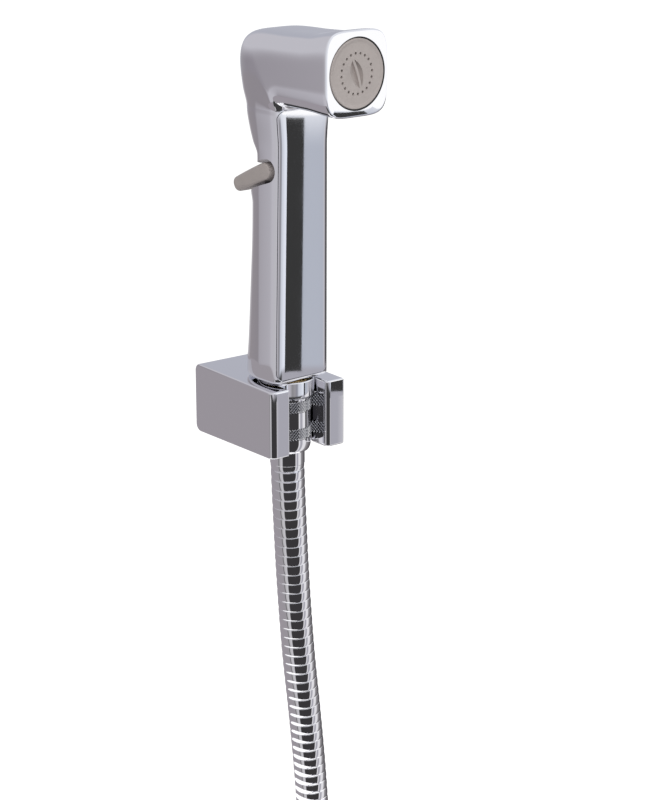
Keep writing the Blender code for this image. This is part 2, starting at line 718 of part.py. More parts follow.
def build_trigger(frame, mat):
    """Thumb lever: a round-ended paddle, forked about the stem and slotted for the two lugs."""
    origin = Vector((0.0, PIVOT_Y, PIVOT_Z))
    holder = bpy.data.objects.new("trigger_axis", None)
    bpy.context.scene.collection.objects.link(holder)
    holder.parent = frame
    holder.location = origin
    radius = TRIGGER_HALF_THICK
    tip = TRIGGER_TIP_HALF
    end = TRIGGER_LENGTH + tip
    stations = []
    for degrees in (12.0, 30.0, 50.0, 70.0, 90.0):
        turn = math.radians(degrees)
        stations.append((-radius * math.cos(turn), radius * math.sin(turn)))
    for i in range(1, 6):
        length = TRIGGER_LENGTH * i / 5.0
        stations.append((length, blend(radius, tip, trigger_taper(length))))
    for degrees in (70.0, 50.0, 30.0, 12.0):
        turn = math.radians(degrees)
        stations.append((TRIGGER_LENGTH + tip * math.cos(turn), tip * math.sin(turn)))
    rings = []
    for length, half in stations:
        taper = trigger_taper(length)
        side = blend(TRIGGER_INNER_SIDE, TRIGGER_OUTER_SIDE, taper)
        near = max(0.0, 1.0 - (end - length) / TRIGGER_TIP_ROUND)
        side -= TRIGGER_TIP_ROUND * (1.0 - math.sqrt(1.0 - near * near))
        corner = min(blend(0.9 * MM, 1.6 * MM, taper), 0.8 * half)
        ring = []
        for x, across in rounded_rect(side, half, corner, 3):
            y, z = on_trigger(length, across)
            ring.append(Vector((x, y, z)) - origin)
        rings.append(ring)
    bm = bmesh.new()
    add_rings(bm, rings)
    trigger = finish("trigger", bm, mat, holder)

    slit = STEM_R + 1.5 * GAP
    low = TRIGGER_INNER_Z - 3.0 * radius
    high = TRIGGER_INNER_Z + 3.0 * radius
    boolean(trigger, box("fork", (-slit, -3.0 * radius, low), (slit, slit, high), frame))
    for side, label in ((-1.0, "left"), (1.0, "right")):
        edges = (side * (LUG_INNER_X - GAP), side * (LUG_INNER_X + LUG_THICKNESS + GAP))
        outline = lug_outline(LUG_R + GAP, 1.35 * LUG_R, 2.0 * radius)
        groove = prism("groove_" + label, outline, min(edges), max(edges), parent=frame, cutter=True)
        boolean(trigger, groove)
    reach = TRIGGER_INNER_SIDE + 2.0 * MM
    pin_from = -(LUG_INNER_X + LUG_THICKNESS + 2.2 * MM)
    pin_at = (0.0, PIVOT_Y, PIVOT_Z)
    bore = lathe(
        "pin_way", rod(PIN_R + GAP, pin_from - GAP, reach), None, frame, 16,
        along(pin_at, (1, 0, 0)), cutter=True,
    )
    boolean(trigger, bore)
    lathe(
        "trigger_pin", rod(PIN_R, pin_from, -pin_from), METAL, frame, 16, along(pin_at, (1, 0, 0))
    )
    return trigger


def build_valve(frame):
    """Valve cartridge: seat, disc and stem, closed by a spring under the gland nut."""
    bore = VALVE_CHAMBER_R
    inlet = RISER_R + GAP
    floor_z = VALVE_SEAT_Z - VALVE_SEAT_LIP
    profile = [
        (inlet, VALVE_BOTTOM_Z),
        (VALVE_R, VALVE_BOTTOM_Z),
        (VALVE_R, VALVE_TOP_Z),
        (bore, VALVE_TOP_Z),
        (bore, floor_z),
        (VALVE_SEAT_R + 1.1 * MM, floor_z),
        (VALVE_SEAT_R + 0.6 * MM, VALVE_SEAT_Z),
        (VALVE_SEAT_R, VALVE_SEAT_Z),
        (VALVE_SEAT_R, VALVE_BOTTOM_Z + RISER_SOCKET),
        (inlet, VALVE_BOTTOM_Z + RISER_SOCKET),
    ]
    body = lathe("valve_body", profile, BRASS, frame, 32)
    port_z = OUTLET_GROOVE_Z + 2.0 * MM
    cut_rod(body, "valve_port", 1.3 * MM, (0.0, 0.0, port_z), (0, -1, 0), 0.0, 2.0 * VALVE_R, 14)
    tip = 0.55 * STEM_R
    lathe(
        "valve_disc",
        tube(DISC_R, tip + GAP, DISC_BOTTOM_Z, DISC_BOTTOM_Z + DISC_THICKNESS),
        RUBBER, frame, 32,
    )
    lathe(
        "valve_stem",
        [
            (0.0, DISC_BOTTOM_Z),
            (tip, DISC_BOTTOM_Z),
            (tip, STEM_FLANGE_Z),
            (DISC_R - 0.1 * MM, STEM_FLANGE_Z),
            (DISC_R - 0.1 * MM, STEM_FLANGE_Z + STEM_FLANGE),
            (STEM_R, STEM_FLANGE_Z + STEM_FLANGE),
            (STEM_R, STEM_HEAD_Z),
            (STEM_HEAD_R, STEM_HEAD_Z),
            (STEM_HEAD_R, STEM_HEAD_Z + STEM_HEAD),
            (0.0, STEM_HEAD_Z + STEM_HEAD),
        ],
        METAL, frame, 24,
    )
    thread_r = VALVE_CHAMBER_R - GAP
    hole = STEM_R + GAP
    ring_r = hole + SEAL_WIRE_R
    recess = ring_r + SEAL_WIRE_R + GAP
    seal_room = 2.0 * (SEAL_WIRE_R + GAP)
    lathe(
        "gland_nut",
        [
            (recess, GLAND_BOTTOM_Z),
            (thread_r, GLAND_BOTTOM_Z),
            (thread_r, VALVE_TOP_Z - GAP),
            (hole, VALVE_TOP_Z - GAP),
            (hole, GLAND_BOTTOM_Z + seal_room),
            (recess, GLAND_BOTTOM_Z + seal_room),
        ],
        BRASS, frame, 32,
    )
    seal_z = GLAND_BOTTOM_Z + seal_room - SEAL_WIRE_R - GAP
    lathe("stem_seal", ring_profile(ring_r, SEAL_WIRE_R, seal_z), RUBBER, frame, 24)
    build_spring(frame)
    wall = RISER_R - RISER_WALL
    lathe("riser_tube", tube(RISER_R, wall, RISER_BOTTOM_Z, RISER_TOP_Z), PLASTIC, frame, 32)
    place = Matrix.Translation((0.0, OUTLET_Y, 0.0))
    low = VALVE_TOP_Z + 2.0 * GAP
    skin = tube(OUTLET_R, OUTLET_R - OUTLET_WALL, low, OUTLET_TOP_Z)
    lathe("outlet_tube", skin, PLASTIC, frame, 20, place)


def build_spring(frame):
    """Closing spring between the stem's flange and the gland nut."""
    low = SPRING_BOTTOM_Z + SPRING_WIRE_R
    high = SPRING_TOP_Z - SPRING_WIRE_R
    steps = 10
    count = int(SPRING_TURNS * steps)
    rings = []
    for i in range(count + 1):
        share = i / count
        turn = 2.0 * math.pi * SPRING_TURNS * share
        centre = Vector((
            SPRING_COIL_R * math.cos(turn), SPRING_COIL_R * math.sin(turn), blend(low, high, share)
        ))
        out = Vector((math.cos(turn), math.sin(turn), 0.0))
        ring = []
        for k in range(6):
            spin = 2.0 * math.pi * k / 6
            lift = Vector((0.0, 0.0, SPRING_WIRE_R * math.sin(spin)))
            ring.append(centre + out * SPRING_WIRE_R * math.cos(spin) + lift)
        rings.append(ring)
    bm = bmesh.new()
    add_rings(bm, rings)
    return finish("valve_spring", bm, METAL, frame)


def build_inlet(frame):
    """Threaded brass inlet pressed into the foot of the handle, with its O-ring."""
    groove_z = 0.5 * (HANDLE_BOTTOM_Z + SPIGOT_TOP_Z) - 4.0 * MM
    groove = 1.0 * MM
    groove_r = SPIGOT_R - 1.5 * MM
    shoulder_z = HANDLE_BOTTOM_Z - GAP
    profile = [
        (SPIGOT_BORE_R, SPIGOT_BOTTOM_Z),
        (THREAD_R - 0.4 * MM, SPIGOT_BOTTOM_Z),
        (THREAD_R, SPIGOT_BOTTOM_Z + 0.4 * MM),
        (THREAD_R, shoulder_z),
        (SPIGOT_R, shoulder_z),
        (SPIGOT_R, groove_z - groove),
        (groove_r, groove_z - groove),
        (groove_r, groove_z + groove),
        (SPIGOT_R, groove_z + groove),
        (SPIGOT_R, SPIGOT_TOP_Z),
        (RISER_R + GAP, SPIGOT_TOP_Z),
        (RISER_R + GAP, SPIGOT_BORE_TOP_Z),
        (RISER_R - RISER_WALL, SPIGOT_BORE_TOP_Z),
        (RISER_R - RISER_WALL, SPIGOT_BORE_TOP_Z - 2.0 * MM),
        (SPIGOT_BORE_R, SPIGOT_BORE_TOP_Z - 4.0 * MM),
    ]
    lathe("inlet_spigot", profile, BRASS, frame, 28)
    wire = 0.5 * (SPIGOT_R + GAP - groove_r) - GAP
    seal = ring_profile(groove_r + GAP + wire, wire, groove_z)
    lathe("inlet_seal", seal, RUBBER, frame, 28)


def nut_profile():
    """Cone nut: threaded top, shoulder for the tail, two raised bands for the knurl."""
    top = NUT_TOP_Z
    flare_top = NUT_FLARE_Z + NUT_FLARE_RISE
    band = 0.3 * MM
    taper_z = NUT_LOWER_BAND_Z - 1.6 * MM
    outer = [
        (NUT_FOOT_R, NUT_BOTTOM_Z),
        (NUT_BODY_R, taper_z),
    ]
    for low in (NUT_LOWER_BAND_Z, NUT_UPPER_BAND_Z):
        outer.append((NUT_BODY_R, low))
        outer.append((NUT_BAND_R, low + band))
        outer.append((NUT_BAND_R, low + NUT_BAND_HEIGHT - band))
        outer.append((NUT_BODY_R, low + NUT_BAND_HEIGHT))
    outer.append((NUT_BODY_R, NUT_FLARE_Z))
    outer.append((NUT_TOP_R, flare_top))
    outer.append((NUT_TOP_R, top - NUT_CHAMFER))
    outer.append((NUT_TOP_R - NUT_CHAMFER, top))
    inner = [
        (THREAD_BORE_R, top),
        (THREAD_BORE_R, NUT_THREAD_Z),
        (FLANGE_BORE_R, NUT_THREAD_Z),
        (FLANGE_BORE_R, NUT_SHOULDER_Z),
        (NUT_BORE_R, NUT_SHOULDER_Z),
        (NUT_BORE_R, NUT_BOTTOM_Z),
    ]
    return outer + inner


def tail_profile(low, flange_low, top):
    """Flanged tail with a bore through it, flange upward."""
    return [
        (TAIL_BORE_R, low),
        (TAIL_R, low),
        (TAIL_R, flange_low),
        (TAIL_FLANGE_R, flange_low),
        (TAIL_FLANGE_R, top),
        (TAIL_BORE_R, top),
    ]


def build_hose_top():
    place = Matrix.Translation((0.0, NUT_AXIS_Y, 0.0))
    lathe("cone_nut", nut_profile(), CHROME, None, 36, place)
    flange_low = TAIL_TOP_Z - TAIL_FLANGE
    lathe("upper_tail", tail_profile(TAIL_BOTTOM_Z, flange_low, TAIL_TOP_Z), BRASS, None, 32, place)
    washer = tube(TAIL_FLANGE_R, 1.5 * TAIL_BORE_R, TAIL_TOP_Z + GAP, NUT_THREAD_Z)
    lathe("cone_washer", washer, RUBBER, None, 32, place)
    ferrule = tube(FERRULE_R, FERRULE_BORE_R, FERRULE_BOTTOM_Z, flange_low - GAP)
    lathe("upper_ferrule", ferrule, CHROME, None, 32, place)


HOSE_DRIFT = [
    (-45.0 * MM, 0.9 * MM),
    (-78.0 * MM, 2.7 * MM),
    (-111.0 * MM, 5.3 * MM),
    (-140.0 * MM, 8.5 * MM),
    (-172.0 * MM, 11.7 * MM),
]


def hose_route():
    """Route of the hanging hose: down from the nut, then round onto the coil."""
    route = [Vector((0.0, NUT_AXIS_Y, FERRULE_BOTTOM_Z - 2.0 * GAP))]
    for z, x in HOSE_DRIFT:
        route.append(Vector((x, NUT_AXIS_Y, z)))
    start_z = UPPER_LAYER_Z + HOSE_BEND_R
    last = math.asin((HOSE_BEND_R - HOSE_R - GAP) / (HOSE_BEND_R + HOSE_R))
    for share in (0.14, 0.38, 0.62, 0.82, 1.0):
        turn = share * last
        z = start_z - HOSE_BEND_R * math.sin(turn)
        sweep = HOSE_BEND_R * (1.0 - math.cos(turn)) / COIL_R
        x = COIL_CENTRE_X + COIL_R * math.sin(sweep)
        y = COIL_CENTRE_Y + COIL_R * math.cos(sweep)
        route.append(Vector((x, y, z)))
    return route


def smooth_route(route, step):
    """Points along a smooth curve through a route, about a step apart."""
    out = [route[0]]
    for i in range(len(route) - 1):
        before = route[max(i - 1, 0)]
        here = route[i]
        there = route[i + 1]
        after = route[min(i + 2, len(route) - 1)]
        count = max(1, round((there - here).length / step))
        for k in range(1, count + 1):
            t = k / count
            out.append(0.5 * (
                2.0 * here
                + (there - before) * t
                + (2.0 * before - 5.0 * here + 4.0 * there - after) * t * t
                + (3.0 * here - before - 3.0 * there + after) * t**3
            ))
    return out


def build_hose():
    """Hanging length as a round tube, narrowed where it runs up into the ferrule."""
    points = [
        (Vector((0.0, NUT_AXIS_Y, HOSE_TOP_Z)), HOSE_END_R / HOSE_R),
        (Vector((0.0, NUT_AXIS_Y, FERRULE_BOTTOM_Z - GAP)), HOSE_END_R / HOSE_R),
    ]
    for spot in smooth_route(hose_route(), 1.6 * HOSE_R * 2.0):
        points.append((spot, 1.0))
    curve = bpy.data.curves.new("hose", "CURVE")
    curve.dimensions = "3D"
    curve.bevel_depth = HOSE_R
    curve.bevel_resolution = 4
    curve.use_fill_caps = True
    spline = curve.splines.new("POLY")
    spline.points.add(len(points) - 1)
    for target, (spot, thick) in zip(spline.points, points):
        target.co = (*spot, 1.0)
        target.radius = thick
    spline.use_smooth = True
    curve.materials.append(CHROME)
    hose = bpy.data.objects.new("hose", curve)
    bpy.context.scene.collection.objects.link(hose)


def build_coil():
    """The rest of the hose as a turned ring, two turns high, with rounded edges."""
    height = 4.0 * HOSE_R
    profile = []
    for quarter in range(4):
        base = COIL_FLOOR_Z + (HOSE_R if quarter in (2, 3) else height - HOSE_R)
        for i in range(4):
            turn = 0.5 * math.pi * (quarter + i / 3.0)
            profile.append((COIL_R + HOSE_R * math.cos(turn), base + HOSE_R * math.sin(turn)))
    cleaned = []
    for pair in profile:
        if not cleaned or math.dist(pair, cleaned[-1]) > 1e-6:
            cleaned.append(pair)
    place = Matrix.Translation((COIL_CENTRE_X, COIL_CENTRE_Y, 0.0))
    lathe("hose_coil", cleaned, CHROME, None, 48, place)


def build_far_end():
    """Far end of the hose, laid level beside the coil, with its free-turning hexagon nut."""
    start = Vector((COIL_CENTRE_X - FAR_END_START, COIL_CENTRE_Y - COIL_R, FAR_Z))
    place = along(start, (-1.0, 0.0, 0.0))
    tail_top = FAR_FLANGE + TAIL_FLANGE
    lathe("lower_ferrule", tube(FERRULE_R, FERRULE_BORE_R, 0.0, FAR_FERRULE_END), CHROME, None, 32, place)
    tail = tail_profile(FAR_FLANGE - TAIL_LENGTH, FAR_FLANGE, tail_top)
    lathe("lower_tail", tail, BRASS, None, 32, place)
    washer = tube(TAIL_FLANGE_R, 1.5 * TAIL_BORE_R, FAR_WASHER, FAR_WASHER + WASHER_THICKNESS)
    lathe("tap_washer", washer, RUBBER, None, 32, place)

    axle = bpy.data.objects.new("tap_nut_axis", None)
    bpy.context.scene.collection.objects.link(axle)
    axle.matrix_world = place
    rear = FAR_MOUTH - TAP_NUT_LENGTH
    corner_r = 0.5 * TAP_NUT_FLATS / math.cos(math.radians(30.0))
    hexagon = []
    for i in range(6):
        turn = math.radians(60.0 * i)
        hexagon.append((corner_r * math.cos(turn), corner_r * math.sin(turn)))
    nut = prism("tap_nut", hexagon, rear, FAR_MOUTH, CHROME, axle, axis="Z")
    seat_room = FAR_WASHER + WASHER_THICKNESS
    way = [
        (0.0, rear - 1.0 * MM),
        (NUT_BORE_R, rear - 1.0 * MM),
        (NUT_BORE_R, FAR_SEAT),
        (FLANGE_BORE_R, FAR_SEAT),
        (FLANGE_BORE_R, seat_room),
        (THREAD_BORE_R, seat_room),
        (THREAD_BORE_R, FAR_MOUTH + 1.0 * MM),
        (0.0, FAR_MOUTH + 1.0 * MM),
    ]
    boolean(nut, lathe("tap_nut_way", way, None, axle, 32, cutter=True))


def holder_ring(y, inset):
    share = -y / HOLDER_DEPTH
    half_high = 0.5 * blend(HOLDER_WALL_HEIGHT, HOLDER_FRONT_HEIGHT, share) - inset
    corner = max(0.4 * MM, HOLDER_EDGE_ROUND - 0.3 * inset)
    pairs = rounded_rect(0.5 * HOLDER_WIDTH - inset, half_high, corner)
    return [Vector((x, y, z)) for x, z in pairs]


def build_holder():
    """Wall holder: a block slotted from the front, with a conical seat, hollow at the wall."""
    rings = []
    for i in range(5):
        turn = 0.5 * math.pi * i / 4
        inset = HOLDER_REAR_ROUND * (1.0 - math.sin(turn))
        rings.append(holder_ring(-HOLDER_REAR_ROUND * (1.0 - math.cos(turn)), inset))
    front = -HOLDER_DEPTH + HOLDER_FRONT_ROUND
    for i in range(1, 4):
        rings.append(holder_ring(blend(-HOLDER_REAR_ROUND, front, i / 3.0), 0.0))
    for i in range(1, 4):
        turn = 0.5 * math.pi * i / 3
        inset = HOLDER_FRONT_ROUND * (1.0 - math.cos(turn))
        rings.append(holder_ring(front - HOLDER_FRONT_ROUND * math.sin(turn), inset))
    bm = bmesh.new()
    add_rings(bm, rings)
    holder = finish("wall_holder", bm, CHROME)

    tall = HOLDER_WALL_HEIGHT
    half = 0.5 * SLOT_WIDTH
    boolean(holder, box("nut_slot", (-half, -1.5 * HOLDER_DEPTH, -tall), (half, NUT_AXIS_Y, tall)))
    seat = [
        (0.0, -tall),
        (NUT_BAND_R + GAP, -tall),
        (NUT_BAND_R + GAP, NUT_FLARE_Z - GAP),
        (NUT_TOP_R + GAP, NUT_FLARE_Z + NUT_FLARE_RISE - GAP),
        (NUT_TOP_R + GAP, tall),
        (0.0, tall),
    ]
    place = Matrix.Translation((0.0, NUT_AXIS_Y, 0.0))
    boolean(holder, lathe("nut_seat", seat, None, None, 36, place, cutter=True))
    pocket_x = 0.5 * HOLDER_WIDTH - HOLDER_WALL
    pocket_z = 0.5 * HOLDER_WALL_HEIGHT - HOLDER_WALL
    low = (-pocket_x, -HOLDER_POCKET_DEPTH, -pocket_z)
    boolean(holder, box("rear_pocket", low, (pocket_x, HOLDER_WALL, pocket_z)))
    grub_at = (0.0, -GRUB_FROM_WALL, 0.0)
    cut_rod(holder, "grub_way", GRUB_R + GAP, grub_at, (0, 0, -1), 0.5 * pocket_z, tall, 20)

    plate_x = pocket_x - GAP
    plate_z = pocket_z - GAP
    outline = rounded_rect(plate_x, plate_z, 1.0 * MM, 3)
    plate = prism("wall_plate", outline, -PLATE_THICKNESS, 0.0, METAL, axis="Y")
    bm = bmesh.new()
    sink = PLATE_SINK_R - PLATE_SCREW_R
    for side in (-0.5, 0.5):
        hole = [
            (0.0, -1.0 * MM),
            (PLATE_SCREW_R, -1.0 * MM),
            (PLATE_SCREW_R, PLATE_THICKNESS - sink),
            (PLATE_SINK_R + 0.5 * MM, PLATE_THICKNESS + 0.5 * MM),
            (0.0, PLATE_THICKNESS + 0.5 * MM),
        ]
        add_lathe(bm, hole, 24, along((side * PLATE_SCREW_SPACING, 0.0, 0.0), (0, -1, 0)))
    boolean(plate, finish("plate_holes", bm, None, cutter=True))
    screw_low = 0.5 * HOLDER_WALL_HEIGHT - GAP
    screw_high = screw_low - GRUB_LENGTH
    cut_rod(plate, "grub_thread", GRUB_R + GAP, grub_at, (0, 0, -1), screw_high - GAP, tall, 20)
    screw = lathe(
        "holder_grub_screw", rod(GRUB_R, screw_high, screw_low), METAL, None, 20,
        along(grub_at, (0, 0, -1)),
    )
    key = cut_rod(screw, "grub_key", GRUB_KEY_R, grub_at, (0, 0, -1), screw_low - 2.4 * MM, tall, 6)
    return key


def main():
    global CHROME, METAL, BRASS, RUBBER, PLASTIC, WARM_GREY
    for obj in list(bpy.data.objects):
        bpy.data.objects.remove(obj, do_unlink=True)
    CHROME = material("chrome", (0.78, 0.78, 0.81), 1.0, 0.06)
    METAL = material("steel", (0.62, 0.62, 0.63), 1.0, 0.25)
    BRASS = material("brass", (0.72, 0.55, 0.28), 1.0, 0.25)
    RUBBER = material("rubber", (0.03, 0.03, 0.03), 0.0, 0.7)
    PLASTIC = material("inner_plastic", (0.75, 0.75, 0.73), 0.0, 0.45)
    WARM_GREY = material("warm_grey_plastic", (0.40, 0.355, 0.34), 0.0, 0.38)

    frame = bpy.data.objects.new("handset_frame", None)
    bpy.context.scene.collection.objects.link(frame)
    frame.location = (0.0, NUT_AXIS_Y, 0.0)
    frame.rotation_euler = (0.0, 0.0, HANDSET_YAW)

    build_shell(frame, CHROME)
    panel_loft("handle_panel", 0.0, None, PANEL_THICKNESS, CHROME, frame)
    build_plate(frame, WARM_GREY)
    back = (0.0, 1.0, 0.0)
    middle = (0.0, 0.0, HEAD_AXIS_Z)
    socket = [
        (0.9 * HEAD_DUCT_R, SOCKET_FLOOR_Y),
        (SOCKET_BORE_R, SOCKET_FLOOR_Y),
        (SOCKET_BORE_R, SOCKET_FRONT_Y),
        (SOCKET_R, SOCKET_FRONT_Y),
        (SOCKET_R, SOCKET_BACK_Y),
        (0.9 * HEAD_DUCT_R, SOCKET_BACK_Y),
    ]
    lathe("spray_socket", socket, PLASTIC, frame, 40, along(middle, back))
    seal_low = SKIRT_END_Y + GAP
    seal = tube(SPRAY_SKIRT_R, SPRAY_SKIRT_R - 2.0 * SPRAY_SKIRT_WALL, seal_low, seal_low + SEAL_THICKNESS)
    lathe("spray_seal", seal, RUBBER, frame, 40, along(middle, back))
    build_trigger(frame, WARM_GREY)
    build_valve(frame)
    build_inlet(frame)
    build_hose_top()
    build_hose()
    build_coil()
    build_far_end()
    build_holder()


main()
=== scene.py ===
"""Handheld bidet shower resting in its wall holder: the finished look of every piece.

Metres, +Z up, in the row frame. The origin is on the wall, +Y runs into the wall and -Y out into the
room. The handset has its own upright frame on the hose's axis, turned a few degrees in the holder.
"""

import math

import bmesh
import bpy
import numpy as np
from mathutils import Matrix, Vector
from mathutils.bvhtree import BVHTree


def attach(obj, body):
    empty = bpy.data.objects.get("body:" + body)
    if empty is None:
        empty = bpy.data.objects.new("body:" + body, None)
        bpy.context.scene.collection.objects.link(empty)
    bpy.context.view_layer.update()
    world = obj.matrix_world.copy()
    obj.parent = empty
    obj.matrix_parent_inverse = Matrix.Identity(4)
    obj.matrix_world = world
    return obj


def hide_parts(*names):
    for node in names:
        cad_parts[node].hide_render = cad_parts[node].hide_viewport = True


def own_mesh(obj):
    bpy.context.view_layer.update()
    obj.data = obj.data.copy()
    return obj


bl_info = {
    "name": "Handheld bidet shower",
    "version": (1, 0, 0),
    "blender": (4, 5, 0),
    "location": "View3D > Sidebar > Bidet shower",
    "description": "Dresses the handset, its holder and its hose, and sets up the studio",
    "category": "Object",
}

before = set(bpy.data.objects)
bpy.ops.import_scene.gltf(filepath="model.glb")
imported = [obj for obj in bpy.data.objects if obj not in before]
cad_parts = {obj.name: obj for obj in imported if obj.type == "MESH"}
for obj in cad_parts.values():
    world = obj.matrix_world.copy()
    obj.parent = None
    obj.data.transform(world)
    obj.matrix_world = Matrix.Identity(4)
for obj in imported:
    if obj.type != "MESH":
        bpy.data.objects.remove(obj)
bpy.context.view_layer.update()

MM = 0.001
GAP = 0.3 * MM
WALL_BODY = "handset_on_wall"
TRIGGER_BODY = "trigger_lever"

# Handset form, as in the solids but for a sharper head rim and a fuller back under the head
NUT_AXIS_Y = -41.0 * MM
HANDLE_BOTTOM_Z = 15.8 * MM
HANDLE_FOOT_ROUND = 1.5 * MM
HEAD_AXIS_Z = 147.1 * MM
HEAD_BACK = 17.2 * MM
HEAD_SIDE = 16.2 * MM
HEAD_RIM_HALF_HEIGHT = 17.0 * MM
HEAD_TOP_Z = 161.4 * MM
HEAD_UNDER_Z = 131.5 * MM
HEAD_RIM_ROUND = 0.9 * MM
HEAD_POWER = 4.6
NECK_FILLET = 2.0 * MM
FRONT_POWER = 9.0
SECTION_POINTS = 144
BACK_STATIONS = [
    (0.0, 19.8 * MM),
    (0.14, 18.0 * MM),
    (0.36, 15.7 * MM),
    (0.55, 13.9 * MM),
    (0.652, 13.6 * MM),
    (0.697, 15.2 * MM),
    (0.735, 13.0 * MM),
    (0.785, 7.4 * MM),
    (0.835, 7.2 * MM),
    (0.877, 12.0 * MM),
    (0.93, 14.1 * MM),
    (1.0, 15.3 * MM),
]
PANEL_TOP_Z = 129.6 * MM
PANEL_BOTTOM_Z = 17.6 * MM
PANEL_CORNER = 3.0 * MM
PANEL_THICKNESS = 1.3 * MM
PANEL_EDGE = 0.25 * MM

# Trigger and its slot
TRIGGER_HALF_THICK = 4.0 * MM
TRIGGER_INNER_Y = -1.0 * MM
TRIGGER_INNER_Z = 104.2 * MM
TRIGGER_DROOP = math.radians(22.5)
TRIGGER_PIVOT_ALONG = 8.7 * MM
TRIGGER_SWING = math.radians(5.0)
SLOT_END_Y = -4.6 * MM
SLOT_END_Z = 105.0 * MM
SLOT_END_R = 4.8 * MM
WEB_SIDE = 7.0 * MM
PIN_R = 1.2 * MM
LUG_INNER_X = 4.7 * MM
LUG_THICKNESS = 2.6 * MM
LUG_R = PIN_R + GAP + 1.2 * MM
STEM_R = 1.5 * MM
STEM_HEAD_R = 2.6 * MM
DROOP_ALONG = (math.cos(TRIGGER_DROOP), -math.sin(TRIGGER_DROOP))
DROOP_DOWN = (-math.sin(TRIGGER_DROOP), -math.cos(TRIGGER_DROOP))
PIVOT_Y = TRIGGER_INNER_Y + TRIGGER_PIVOT_ALONG * DROOP_ALONG[0]
PIVOT_Z = TRIGGER_INNER_Z + TRIGGER_PIVOT_ALONG * DROOP_ALONG[1]

# Valve and waterways behind the shell
VALVE_R = 7.6 * MM
VALVE_TOP_Z = PIVOT_Z - 8.4 * MM
STEM_WAY_TOP_Z = 111.3 * MM
SPIGOT_R = 8.2 * MM
SPIGOT_WAY_TOP_Z = 42.0 * MM
OUTLET_Y = -7.7 * MM
OUTLET_WAY_R = 1.9 * MM
OUTLET_WAY_FOOT_Z = 84.0 * MM

# Nozzle plate
SPRAY_THICKNESS = 2.6 * MM
SPRAY_RIM = 0.9 * MM
SKIRT_R = 12.2 * MM
SKIRT_WALL = 1.2 * MM
SKIRT = 6.0 * MM
SOCKET_BEHIND_SKIRT = 3.4 * MM
SOCKET_WAY_R = SKIRT_R + 1.9 * MM
HEAD_DUCT_R = 3.0 * MM

# Cone nut and the hose's ends
NUT_TOP_Z = 15.3 * MM
NUT_BOTTOM_Z = -17.0 * MM
NUT_BANDS = (-10.6 * MM, 1.4 * MM)
NUT_BAND_HEIGHT = 5.2 * MM
NUT_FOOT_R = 8.0 * MM
NUT_FOOT_CHAMFER = 0.25 * MM
NUT_BAND_SUNK = 0.25 * MM
NUT_FLARE_Z = 7.2 * MM
NUT_FLARE_RISE = 1.4 * MM
NUT_EDGE = 0.5 * MM
FERRULE_R = 7.4 * MM
FERRULE_WALL = 0.7 * MM
FERRULE_BOTTOM_Z = -23.0 * MM
FERRULE_TOP_Z = 4.7 * MM
FERRULE_ROLL = 0.35 * MM
FAR_FERRULE_LENGTH = 22.1 * MM
NUT_BORE_R = FERRULE_R + GAP
FLANGE_BORE_R = 9.4 * MM
THREAD_BORE_R = 10.5 * MM
NUT_THREAD_Z = 8.8 * MM
NUT_SHOULDER_Z = 4.7 * MM

# Holder's seat, pocket and grub screw
SEAT_R = 10.7 * MM
SEAT_TOP_R = 12.0 * MM
HOLDER_WALL = 3.6 * MM
POCKET_DEPTH = 23.0 * MM
GRUB_WAY_R = 2.3 * MM
GRUB_FROM_WALL = 4.4 * MM

# Hose route, as in the solids
HOSE_R = 7.25 * MM
HOSE_END_R = 6.2 * MM
HOSE_END = 1.6 * MM
COIL_R = 78.0 * MM
COIL_CENTRE = Vector((14.5 * MM, -119.0 * MM, 0.0))
COIL_FLOOR_Z = -322.0 * MM
HOSE_BEND_R = 95.0 * MM
FAR_END_START = 48.6 * MM
FAR_Z = -308.044 * MM
HOSE_DRIFT = [
    (-45.0 * MM, 0.9 * MM),
    (-78.0 * MM, 2.7 * MM),
    (-111.0 * MM, 5.3 * MM),
    (-140.0 * MM, 8.5 * MM),
    (-172.0 * MM, 11.7 * MM),
]


# Settings a user would change
def length_property(name, description, default):
    return bpy.props.FloatProperty(
        name=name, description=description, default=default, subtype="DISTANCE", unit="LENGTH"
    )


def angle_property(name, description, degrees):
    return bpy.props.FloatProperty(
        name=name, description=description, default=math.radians(degrees), subtype="ANGLE"
    )


def colour_property(name, description, default):
    return bpy.props.FloatVectorProperty(
        name=name, description=description, default=default, subtype="COLOR", size=3, min=0.0, max=1.0
    )


class HandsetSettings(bpy.types.PropertyGroup):
    """Sizes of the handset's shell and front panel"""

    yaw: angle_property("Turn in the holder", "How far the handset is turned about the hose's axis", 3.0)
    front_low: length_property(
        "Front depth, foot", "From the hose's axis to the front at the handle's foot", 10.6 * MM
    )
    front_high: length_property(
        "Front depth, neck", "From the hose's axis to the front below the head", 12.2 * MM
    )
    side_low: length_property("Half width, foot", "Half the handle's width at its foot", 14.6 * MM)
    side_high: length_property("Half width, neck", "Half the handle's width near the head", 13.5 * MM)
    head_front: length_property("Head reach", "From the hose's axis to the spray face's bezel", 43.8 * MM)
    panel_margin: length_property("Panel margin", "Shell left to each side of the front panel", 1.05 * MM)
    panel_crown: length_property(
        "Panel crown", "How far the panel's face sinks from its middle to its sides", 0.10 * MM
    )


